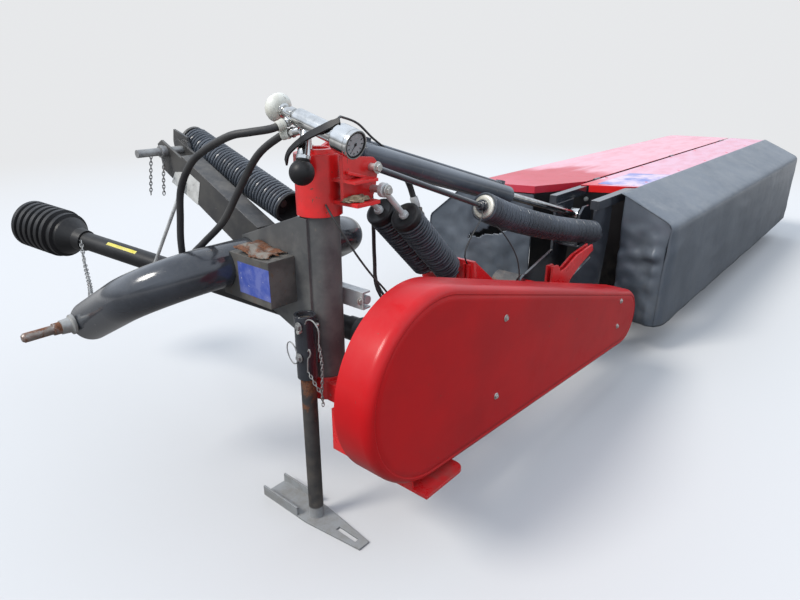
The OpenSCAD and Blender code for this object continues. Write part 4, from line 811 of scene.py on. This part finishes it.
for vert in bm.verts:
    lump = 1 + sum(height * noise.noise(vert.co * scale) for scale, height in headParts["lumps"])
    # the lower half of the ball is pressed flat
    size = Vector(headParts["dirtSize"]) * lump / 1000
    vert.co = at(*headParts["dirt"]) + Vector((vert.co.x, vert.co.y, max(0.0, vert.co.z))) * size
settle("head_dirt", bm, "driedDirt", "swing_frame", smooth=50)

# Thin control lines on the swing frame
lines = dict(
    control_line_1=dict(
        path=[(118, 46, 1048), (170, 50, 1053), (215, 50, 1040), (243, 47, 1007), (252, 45, 930),
            (256, 45, 836), (253, 40, 741), (244, 20, 650), (262, -50, 565), (305, -120, 505), (338, -175, 462),
            (345, -190, 434)], radius=4.5),
    control_line_2=dict(
        path=[(118, 58, 1040), (172, 60, 1043), (224, 58, 1028), (254, 55, 995), (264, 53, 925), (268, 52, 836),
            (265, 47, 741), (258, 28, 655), (280, -46, 570), (320, -118, 508), (352, -172, 462),
            (360, -190, 434)], radius=4.5),
    thin_line=dict(
        path=[(-28, -56, 974), (-46, -90, 962), (-32, -115, 914), (0, -135, 849), (35, -155, 789),
            (70, -178, 735), (105, -200, 660), (128, -218, 560), (132, -222, 480), (132, -222, 434)],
        radius=3.0),
    hook_line_1=dict(
        path=[(612, -120, 864), (570, -150, 852), (495, -180, 838), (440, -186, 795), (420, -190, 762),
            (436, -188, 732)], radius=2.5),
    hook_line_2=dict(
        path=[(690, -128, 798), (708, -160, 762), (742, -188, 690), (757, -198, 620), (752, -198, 560),
            (738, -190, 508)], radius=2.5),
    barrel_line=dict(
        path=[(-44, -122, 1182), (-8, -96, 1192), (40, -60, 1188), (124, -30, 1166), (210, -6, 1118),
            (300, 8, 1072), (372, 14, 1044)], radius=3.2),
)
for name, look in lines.items():
    route = bend(allAt(look["path"]), 5)
    line = tubes(name, [route], look["radius"], "rubber", "swing_frame")

# Chains and clips of the headstock
chains = dict(
    stand_chains=dict(
        lines=[[(-120, -106, 624), (-118, -112, 560), (-119, -107, 478)], [(-119, -55, 526), (-121, -86, 496),
            (-119, -107, 474)], [(-119, -107, 476), (-118, -108, 440)]], pitch=10, wide=3.6, wire=1.3),
    guard_chain=dict(
        lines=[[(-110, 1338, 676), (-170, 1190, 610), (-262, 940, 590), (-340, 740, 622), (-376, 640, 655)]],
        pitch=20, wide=6.5, wire=2.2),
    pin_chains=dict(
        lines=[[(-44, 783, 1044), (-46, 806, 960), (-43, 830, 892)], [(-44, 698, 1040), (-47, 716, 975),
            (-43, 739, 903)]], pitch=12, wide=4.2, wire=1.6),
)
for name, look in chains.items():
    loops = []
    for way in look["lines"]:
        loops += chainLinks(bend(allAt(way), 8), look["pitch"], look["wide"])
    tubes(name, loops, look["wire"], "dullZinc", "headstock", 1, closed=True, smooth=60)

stand = dict(
    clips=[[(-119, -53, 668), (-121, -66, 684), (-122, -86, 688), (-122, -102, 678), (-121, -109, 660),
        (-121, -106, 624)], [(-119, -59, 590), (-121, -66, 598), (-122, -72, 588), (-121, -66, 576),
        (-121, -59, 566), (-121, -55, 526)]], clipWire=2.0, ringWire=1.8, ring=(-121, 6, 566),
    ringSize=(0.002, 0.021, 0.03), ringSlant=0.008,
    bolts=[((-122, -30, 655), (-1, 0, -0.1)), ((-122, -24, 560), (-1, 0, 0))], boltSize=9,
    pins=[((-91, 4, 566), (-91, 26, 566), 5), ((-128, -30, 640), (-54, -30, 640), 6)])
tubes("stand_clips", [bend(allAt(way), 5) for way in stand["clips"]], stand["clipWire"], "dullZinc",
      "headstock", smooth=60)
deep, wide, high = stand["ringSize"]
ring = []
for step in range(24):
    c, s = cos(pi * step / 12), sin(pi * step / 12)
    ring.append(at(*stand["ring"]) + Vector((deep * s, wide * c + stand["ringSlant"] * s, high * s)))
tubes("stand_ring", [ring], stand["ringWire"], "dullZinc", "headstock", closed=True, smooth=60)
bolts("stand_bolts", stand["bolts"], "dullZinc", "headstock", stand["boltSize"])
bm = bmesh.new()
for near, far, radius in stand["pins"]:
    addRod(bm, at(*near), at(*far), radius)
settle("stand_pins", bm, "boltZinc", "headstock", slot="galvanised", bevel=0.0006)

label("mast_label", [(-33, 664, 986), (-33, 584, 994), (-33, 521, 966), (-33, 548, 892), (-33, 692, 950)],
      (-1, 0, 0), "whiteLabel", "headstock")
label("box_label", [(-150, 182, 714), (-150, 182, 804), (-150, 44.5, 804), (-150, 44.5, 714)], (-1, 0, 0),
      "blueLabel", "headstock")

# The torn flap on the post box
torn = dict(corner=(-156, 46, 826), size=(94, 150), ragged=(6, 8), lift=5, curl=40, waves=10, sideLift=16,
    thickness=0.003)
bm = bmesh.new()
bmesh.ops.create_grid(bm, x_segments=26, y_segments=30, size=0.5)
ragged = []
for vert in bm.verts:
    u, v = vert.co.x + 0.5, vert.co.y + 0.5
    rough = noise.noise(Vector((u * 5, v * 5, 2)))
    lift = (torn["lift"] + torn["curl"] * max(0.0, v - 0.55) ** 1.5
            + torn["waves"] * noise.noise(Vector((u * 3, v * 3, 7))) + torn["sideLift"] * max(0.0, 0.3 - u))
    x, y = [corner + size * part + uneven * rough for corner, size, part, uneven
            in zip(torn["corner"], torn["size"], (u, v), torn["ragged"])]
    vert.co = at(x, y, torn["corner"][2] + lift)
    lowEdge = 0.16 + 0.22 * noise.noise(Vector((u * 6, 1, 4)))
    sideEdge = 0.05 + 0.1 * noise.noise(Vector((v * 7, 5, 2)))
    if v < lowEdge or u < sideEdge:
        ragged.append(vert)
bmesh.ops.delete(bm, geom=ragged, context="VERTS")
thicken(settle("box_flap", bm, "tornSteel", "headstock", smooth=50), torn["thickness"])

# Pale sleeves on the lower hitch pins
sleeves = dict(left_pin_sleeve=(-439.5, 641.35, 580.7), right_pin_sleeve=(386.5, 641.35, 580.7))
sleeveProfile = [(1, 18.4), (1, 29), (3, 31), (10, 31), (12, 26), (14, 23.5), (40, 21.5), (41, 18.4)]
outward = Vector((-1, 0, 0))
for name, spot in sleeves.items():
    turned(name, at(*spot), outward, sleeveProfile, "paleSleeve", "headstock", 32)

# Small blank labels, laid on the round arm and on the drive shaft's guard, and the guard's bands
driveLine = dict(joint=(232, -30, 494), toward=(-320, 1310, 150), bands=(118, 1420))
drive = Vector(driveLine["toward"]).normalized()
joint = at(*driveLine["joint"])
above = Vector((-0.04, 0, 0.06))
roundLabels = dict(arm_label=("hitch_yoke", at(-393, 641, 621), at(-393, 560, 668), 0.013),
    guard_label=("pto_guard", joint + drive * 1.074 + above, joint + drive * 1.232 + above, 0.015))
for name, (node, first, last, half) in roundLabels.items():
    bm = bmesh.new()
    across = (last - first).cross(Vector((-0.5, -0.4, 0.5))).normalized()
    for vert in bmesh.ops.create_grid(bm, x_segments=8, y_segments=14, size=0.5)["verts"]:
        spot = first.lerp(last, vert.co.y + 0.5) + across * vert.co.x * 2 * half
        nearest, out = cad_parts[node].closest_point_on_mesh(spot)[1:3]
        vert.co = nearest + out * 0.0008
    settle(name, bm, "yellowLabel", "headstock", smooth=60)
bm = bmesh.new()
for distance in driveLine["bands"]:
    end = distance + 14
    addTurned(bm, joint, drive, [(distance, 36.05), (distance, 39), (end, 39), (end, 36.05)], 40)
settle("guard_bands", bm, "blackPlastic", "headstock")
collar = [(10, 12.8), (10, 19), (12, 20), (20, 20), (22, 19), (22, 12.8)]
turned("link_pin_collar", at(-33, 705, 1050), outward, collar, "dullZinc", "headstock", 28)
print("headstock dressed")


# Curtains: coated cloth, shaped over their frames
def limited(value):
    return min(1.0, max(0.0, value))


def crumple(point, size, seed):
    return noise.noise(point * size + Vector((seed, seed * 1.7, seed * 0.6)))


def clothPart(bm, across, down, shape, width, length, finish=0):
    layer = bm.loops.layers.uv.get("flat") or bm.loops.layers.uv.new("flat")
    before = set(bm.faces)
    verts = bmesh.ops.create_grid(bm, x_segments=across, y_segments=down, size=0.5)["verts"]
    for face in set(bm.faces) - before:
        face.material_index = finish
        for loop in face.loops:
            loop[layer].uv = ((loop.vert.co.x + 0.5) * width, (loop.vert.co.y + 0.5) * length)
    for vert in verts:
        vert.co = shape(vert.co.x + 0.5, vert.co.y + 0.5)


def hangCloth(name, bm, body, node):
    cloth = settle(name, bm, "greyCloth", body, replaced=[node], smooth=60, extra=["flapCloth"])
    thicken(cloth, 0.0026)


rearProfile = [Vector(pair) for pair in (
    (-176, 764.6), (-185, 762.6), (-300, 708.5), (-400, 661.5), (-420, 650), (-430, 637), (-433.4, 620),
    (-433.4, 400), (-433.4, 152))]
rearLength = lineLength(rearProfile) / 1000
rearCloth = dict(inner=1713, outer=4743, plane=-433.4, corner=70, cornerDepth=24, hangsFrom=660, hangsOver=120,
    wrinkle=3.2, fineWrinkle=1.6, crease=5.0, slack=9, slackOver=420, most=9.0, mostOnTop=3.0)
rearFlap = dict(x=1719, top=655, hem=152, shoulder=640, shoulderStart=-413, front=-192, ridge=650,
    ridgeFrom=-420, slope=0.482, fold=40, fineFold=14, crease=12, creaseHeight=470, creaseOver=75, sweep=34,
    unevenHem=10)


def rearHang(height):
    return limited((rearCloth["hangsFrom"] - height) / rearCloth["hangsOver"])


def rearShape(u, v):
    x = rearCloth["inner"] + u * (rearCloth["outer"] - rearCloth["inner"])
    spot, way = pointOn(rearProfile, v)
    where = Vector((x / 1000, spot.x / 1000, spot.y / 1000))
    near = limited(1 - (x - rearCloth["inner"]) / rearCloth["corner"])
    slack = rearCloth["slack"] * limited(1 - (x - rearCloth["inner"]) / rearCloth["slackOver"])
    hang = rearHang(spot.y)
    swell = rearCloth["wrinkle"] * crumple(where, 3.1, 3) + rearCloth["fineWrinkle"] * crumple(where, 11, 8)
    crease = crumple(Vector((x / 1000 * 2.2, spot.y / 1000 * 7, 0.4)), 1.6, 11) - 0.12
    swell += (rearCloth["crease"] * max(0.0, crease) + slack * crumple(where, 5.5, 21)) * (0.25 + 0.75 * hang)
    swell = min(swell, rearCloth["most"])
    y = spot.x - abs(way.y) * swell * hang + rearCloth["cornerDepth"] * near * near * (0.3 + 0.7 * hang)
    z = spot.y + abs(way.x) * min(swell, rearCloth["mostOnTop"]) * min(1.0, v * 12)
    return at(x, y, z)


def flapShape(u, v):
    # its outer edge meets the long side's inner edge
    flap = rearFlap
    height = flap["top"] - v * (flap["top"] - flap["hem"])
    corner = rearCloth["plane"] + rearCloth["cornerDepth"] * (0.3 + 0.7 * rearHang(height))
    start = flap["shoulderStart"] if height > flap["shoulder"] else corner
    y = start + u * (flap["front"] - start)
    ridge = flap["ridge"] + max(0.0, y - flap["ridgeFrom"]) * flap["slope"] - 3
    low = flap["hem"] + flap["unevenHem"] * crumple(Vector((y / 300, 0, 0)), 1.0, 5)
    z = ridge - v * (ridge - low)
    folds = (flap["fold"] * crumple(Vector((y / 1000, z / 2600, 0)), 9, 2)
             + flap["fineFold"] * crumple(Vector((y / 1000, z / 1000, 0)), 17, 6))
    creases = flap["crease"] * sin(z / 14 + y / 60) * (1 - 0.7 * u)
    creases *= exp(-((z - flap["creaseHeight"]) / flap["creaseOver"]) ** 2)
    sweep = flap["sweep"] * sin(pi * min(1.0, v * 1.1)) * u * (0.4 + 0.6 * v)
    return at(flap["x"] + sweep + (folds + creases) * min(1.0, 4 * v) * min(1.0, 5 * u), y, z)


bm = bmesh.new()
clothPart(bm, 170, 64, rearShape, 3.03, rearLength)
clothPart(bm, 30, 70, flapShape, 0.22, 0.6, finish=1)
hangCloth("rear_curtain_cloth", bm, "mower", "rear_curtain")

frontProfile = [Vector(pair) for pair in (
    (543, 757), (558, 755.5), (640, 690), (760, 588), (790, 562), (798, 548), (800, 520), (801, 300),
    (802, 152))]
frontLength = lineLength(frontProfile) / 1000
frontCloth = dict(inner=1524, outer=4680, swell=4, creases=3, mostOnTop=2.0)
frontFlap = dict(length=590, turn=250, start=796, way=(0.325, -0.92), hem=154, top=756, topFrom=562,
    topSlope=0.82, behind=722, step=(262, 738), fold=20, fineFold=8, pleat=10, out=6)
frontEnd = dict(x=4682.5, start=108, length=690, hem=153, swell=4, low=711, riseFrom=480, rise=0.6, riseTo=545,
    high=751, fallFrom=560, fall=0.822)


def frontShape(u, v):
    x = frontCloth["inner"] + u * (frontCloth["outer"] - frontCloth["inner"])
    spot, way = pointOn(frontProfile, v)
    where = Vector((x / 1000, spot.x / 1000, spot.y / 1000))
    swell = frontCloth["swell"] * crumple(where, 3.3, 30)
    swell += frontCloth["creases"] * crumple(Vector((x / 1000 * 2, spot.y / 1000 * 6, 1)), 1.8, 32)
    swell *= min(1.0, v * 8)
    rise = min(frontCloth["mostOnTop"], swell) * abs(way.x)
    return at(x, spot.x + min(0.0, swell) * abs(way.y), spot.y + rise)


def frontFlapShape(u, v):
    # from the front corner backwards along the panel's slanted edge
    flap = frontFlap
    way = u * flap["length"]
    past = max(0.0, way - flap["turn"])
    x = frontCloth["inner"] + past * flap["way"][0]
    y = flap["start"] - min(way, flap["turn"]) + past * flap["way"][1]
    stepEnd, stepTop = flap["step"]
    if way < flap["turn"]:
        top = flap["top"] - max(0.0, y - flap["topFrom"]) * flap["topSlope"]
    else:
        top = stepTop if way < stepEnd else flap["behind"]
    z = top - 2 - v * (top - flap["hem"])
    spot = Vector((way / 1000, z / 1000, 0))
    folds = flap["fold"] * crumple(Vector((way / 1000, z / 1900, 0)), 6.5, 41)
    folds += flap["fineFold"] * crumple(spot, 16, 44) + flap["pleat"] * abs(crumple(spot, 7, 47))
    folds = (abs(folds) if way < 100 else folds) * min(1.0, 5 * v) * min(1.0, 5 * u + 0.15)
    return at(x + flap["out"] + folds, y, z)


def frontEndShape(u, v):
    # the outer side, from the hinge's side to the front corner
    y = frontEnd["start"] + u * frontEnd["length"]
    if y < frontEnd["riseTo"]:
        top = frontEnd["low"] + max(0.0, y - frontEnd["riseFrom"]) * frontEnd["rise"]
    else:
        top = frontEnd["high"] - max(0.0, y - frontEnd["fallFrom"]) * frontEnd["fall"]
    swell = frontEnd["swell"] * min(0.0, crumple(Vector((0, y / 500, v)), 4, 71))
    return at(frontEnd["x"] + swell, y, top - v * (top - frontEnd["hem"]))


bm = bmesh.new()
clothPart(bm, 150, 44, frontShape, 3.15, frontLength)
clothPart(bm, 84, 84, frontFlapShape, 0.6, 0.6, finish=1)
clothPart(bm, 40, 30, frontEndShape, 0.69, 0.6)
# a tear across the flap
tear = dict(start=(0.27, 0.575), stop=(0.55, 0.47), inside=1.64, gap=0.024, wander=0.016, ragged=0.006)
(tearY, tearZ), (endY, endZ) = tear["start"], tear["stop"]
opened = []
for face in bm.faces:
    middle = face.calc_center_median() - postFoot
    share = (middle.y - tearY) / (endY - tearY)
    if middle.x < tear["inside"] and 0 < share < 1:
        height = tearZ + (endZ - tearZ) * share + tear["wander"] * crumple(middle, 26, 50)
        gap = tear["gap"] * sin(pi * share) ** 0.7 + tear["ragged"] * crumple(middle, 70, 52)
        if abs(middle.z - height) < gap:
            opened.append(face)
bmesh.ops.delete(bm, geom=opened, context="FACES")
hangCloth("front_curtain_cloth", bm, "front_guard", "front_curtain")

endCloth = dict(x=4741, start=-428, length=488, low=630, slope=0.525, levelFrom=-196, high=752, hem=152,
    swell=1.6, pleat=5)


def endShape(u, v):
    y = endCloth["start"] + u * endCloth["length"]
    rising = endCloth["low"] + (y - endCloth["start"]) * endCloth["slope"]
    top = rising if y < endCloth["levelFrom"] else endCloth["high"]
    z = top - v * (top - endCloth["hem"])
    swell = (endCloth["swell"] * crumple(Vector((0, y / 300, z / 500)), 2, 60)
             - endCloth["pleat"] * abs(crumple(Vector((0, y / 500, z / 900)), 5, 61)))
    return at(endCloth["x"] + swell, y, z)


bm = bmesh.new()
clothPart(bm, 36, 40, endShape, 0.49, 0.61)
hangCloth("end_curtain_cloth", bm, "mower", "end_curtain")
print("curtains hung")

# Deck: the bright folded lips, the faded label, the rivets, and the dark aprons at the inner end
deck = dict(edge=(1950, -180, 0.51), lips=[(-180, -162), (-118, 40)], lipHeights=(726.5, 758.5), lipGap=-0.4,
    apronGap=0.5, rearApron=[(-178, 725), (120, 725), (126, 300), (20, 240), (-100, 232), (-178, 260)],
    frontEdge=(1630, 227, 0.4467), frontApron=[(1628, 724), (1934, 724), (1934, 320), (1800, 280), (1628, 300)],
    bolts=[(114, 661), (47, 691), (-49, 681), (-158, 686)], boltWay=(-0.89, -0.455, 0), boltSize=8,
    rivetsAlong=range(2100, 4700, 520), rivetsAcross=(-150, 60), rivet=(761, 764.4, 9, 6))


def rearIn(y, gap=0.0):
    # the rear panel's slanted inner edge
    x, fromY, slant = deck["edge"]
    return x - (y - fromY) * slant + gap


def frontIn(x):
    fromX, y, slant = deck["frontEdge"]
    return y - (x - fromX) * slant


low, high = deck["lipHeights"]
plates("rear_lip", [[at(rearIn(y, deck["lipGap"]), y, z) for y, z in ((a, low), (b, low), (b, high), (a, high))]
                    for a, b in deck["lips"]], Vector((-0.0012, 0, 0)), "lipRed", "mower",
       bevel=0.0005)
label("deck_label", [(1968, -172, 762), (2420, -172, 762), (2330, 20, 762), (1896, 20, 762)], (0, 0, 1),
      "fadedLabel", "mower")
plates("rear_apron", [[at(rearIn(y, deck["apronGap"]), y, z) for y, z in deck["rearApron"]]],
       Vector((0.003, 0, 0)), "blackPlastic", "mower")
plates("front_apron", [[at(x, frontIn(x), z) for x, z in deck["frontApron"]]], Vector((0.0012, 0.0027, 0)),
       "blackPlastic", "front_guard")
bolts("apron_bolts", [((rearIn(y, deck["apronGap"]), y, z), deck["boltWay"]) for y, z in deck["bolts"]],
      "boltZinc", "mower", deck["boltSize"])
low, high, radius, topRadius = deck["rivet"]
bm = bmesh.new()
for x in deck["rivetsAlong"]:
    for y in deck["rivetsAcross"]:
        addRod(bm, at(x, y, low), at(x, y, high), radius, topRadius, segments=14)
settle("deck_rivets", bm, "deckRed", "mower", bevel=0.0008)

# Belt cover: a pressed shell with a wide rounded edge and a seam round its face
cover = dict(big=(-20, 573), bigRadius=255, small=(1240, 355), smallRadius=118, count=180,
    sections=[(18, -320), (4, -320), (0, -323), (0, -404), (1.2, -412), (4.5, -419.5), (9.5, -425.5),
        (15.5, -429), (20, -430), (22.5, -428.2), (24.5, -428.2), (26.5, -429.8), (40, -430)],
    bolts=[(279, 662), (1164, 453), (1158, 348), (252, 429)], face=-430, boltSize=7)


def tearOutline(inset, count):
    # points round the two circles and along their outer tangents
    (px, pz), (qx, qz) = cover["big"], cover["small"]
    r, s = cover["bigRadius"] - inset, cover["smallRadius"] - inset
    base = atan2(qz - pz, qx - px)
    lean = acos((r - s) / hypot(qx - px, qz - pz))
    bigSteps, lineSteps = count // 3, count // 6

    def arc(x, z, radius, start, sweep=0.0, steps=1):
        angles = [start + sweep * step / steps for step in range(steps)]
        return [(x + radius * cos(angle), z + radius * sin(angle)) for angle in angles]

    def tangent(a, b):
        return [(a[0] + (b[0] - a[0]) * step / lineSteps, a[1] + (b[1] - a[1]) * step / lineSteps)
                for step in range(lineSteps)]

    low, high = base - lean, base + lean
    return (arc(px, pz, r, high, 2 * pi - 2 * lean, bigSteps)
            + tangent(*arc(px, pz, r, low), *arc(qx, qz, s, low))
            + arc(qx, qz, s, low, 2 * lean, count - bigSteps - 2 * lineSteps)
            + tangent(*arc(qx, qz, s, high), *arc(px, pz, r, high)))


def layered(bm, sections, count):
    # closed rings, each drawn out of the one before
    ring = bmesh.ops.create_circle(bm, cap_ends=False, segments=count, radius=1)["verts"]
    lines = list({edge for vert in ring for edge in vert.link_edges})
    for number, (inset, depth) in enumerate(sections):
        if number:
            made = bmesh.ops.extrude_edge_only(bm, edges=lines)["geom"]
            fresh = {item for item in made if isinstance(item, bmesh.types.BMVert)}
            ring = [next(edge.other_vert(vert) for edge in vert.link_edges if edge.other_vert(vert) in fresh)
                    for vert in ring]
            lines = [item for item in made if isinstance(item, bmesh.types.BMEdge)
                     and all(vert in fresh for vert in item.verts)]
        for vert, (x, z) in zip(ring, tearOutline(inset, count)):
            vert.co = at(x, depth, z)
    return lines


bm = bmesh.new()
lines = layered(bm, cover["sections"], cover["count"])
bmesh.ops.contextual_create(bm, geom=lines)
bmesh.ops.contextual_create(bm, geom=[edge for edge in bm.edges if edge.is_boundary])
settle("belt_cover_shell", bm, "coverRed", "swing_frame", replaced=["belt_cover"], smooth=40)
bolts("cover_bolts", [((x, cover["face"], z), (0, -1, 0)) for x, z in cover["bolts"]], "boltZinc",
      "swing_frame", cover["boltSize"])
bolts("strut_bolts", [((90.4, -60, 690), (1, 0, 0)), ((60, -84, 690), (0, -1, 0))], "boltZinc", "headstock", 8,
      slot="galvanised")
print("covers pressed")

# Floor and background, which meet far behind the mower
backdrop = dict(colour=(0.8, 0.81, 0.825), floor=(0.16, 0.155, 0.15), floorSeen=(0.56, 0.56, 0.56),
    blend=(3.2, 9.0), size=40, skyLow=(0.3, 0.31, 0.32), skyHigh=(1.05, 1.16, 1.32), skyBlend=(-0.02, 0.35))
floorLook = bpy.data.materials.new("paleFloor")
floorLook.use_nodes = True
tree = floorLook.node_tree
seen = addNode(tree, "ShaderNodeLightPath").outputs["Is Camera Ray"]
floorColour = mixed(tree, seen, rgba(backdrop["floor"]), rgba(backdrop["floorSeen"]))
ground = addNode(tree, "ShaderNodeBsdfDiffuse", {"Color": floorColour})
glow = addNode(tree, "ShaderNodeEmission", {"Color": rgba(backdrop["colour"])})
spot = addNode(tree, "ShaderNodeTexCoord").outputs["Object"]
distance = addNode(tree, "ShaderNodeVectorMath", {0: spot}, operation="LENGTH").outputs["Value"]
blended = addNode(tree, "ShaderNodeMixShader", {0: spread(tree, distance, *backdrop["blend"]),
                                                1: ground.outputs[0], 2: glow.outputs[0]})
feed(tree, tree.nodes["Material Output"].inputs, {"Surface": blended.outputs[0]})
bm = bmesh.new()
bmesh.ops.create_grid(bm, x_segments=1, y_segments=1, size=backdrop["size"])
floorMesh = bpy.data.meshes.new("floor")
bm.to_mesh(floorMesh)
bm.free()
floor = bpy.data.objects.new("floor", floorMesh)
floorMesh.materials.append(floorLook)
scene.collection.objects.link(floor)

world = bpy.data.worlds.new("sky")
scene.world = world
world.use_nodes = True
tree = world.node_tree
seen = addNode(tree, "ShaderNodeLightPath").outputs["Is Camera Ray"]
rise = spread(tree, partOf(tree, addNode(tree, "ShaderNodeTexCoord").outputs["Object"]), *backdrop["skyBlend"])
air = mixed(tree, rise, rgba(backdrop["skyLow"]), rgba(backdrop["skyHigh"]))
feed(tree, tree.nodes["Background"].inputs, {0: mixed(tree, seen, air, rgba(backdrop["colour"])), 1: 1.0})

# Light: a soft key lamp and a weak one from the other side
lamps = dict(
    key=dict(away=(-0.75, 0.3, 0.85), power=2.3, angle=18, colour=(1.0, 0.96, 0.9)),
    fill=dict(away=(0.55, -0.85, 0.75), power=0.08, angle=60, colour=(0.94, 0.97, 1.0)),
)
for name, lamp in lamps.items():
    light = bpy.data.lights.new(name, "SUN")
    light.energy = lamp["power"]
    light.angle = radians(lamp["angle"])
    light.color = lamp["colour"]
    holder = bpy.data.objects.new(name, light)
    holder.location = at(*[2000 * part for part in lamp["away"]])
    holder.rotation_mode = "QUATERNION"
    holder.rotation_quaternion = (-Vector(lamp["away"])).to_track_quat("-Z", "Y")
    scene.collection.objects.link(holder)
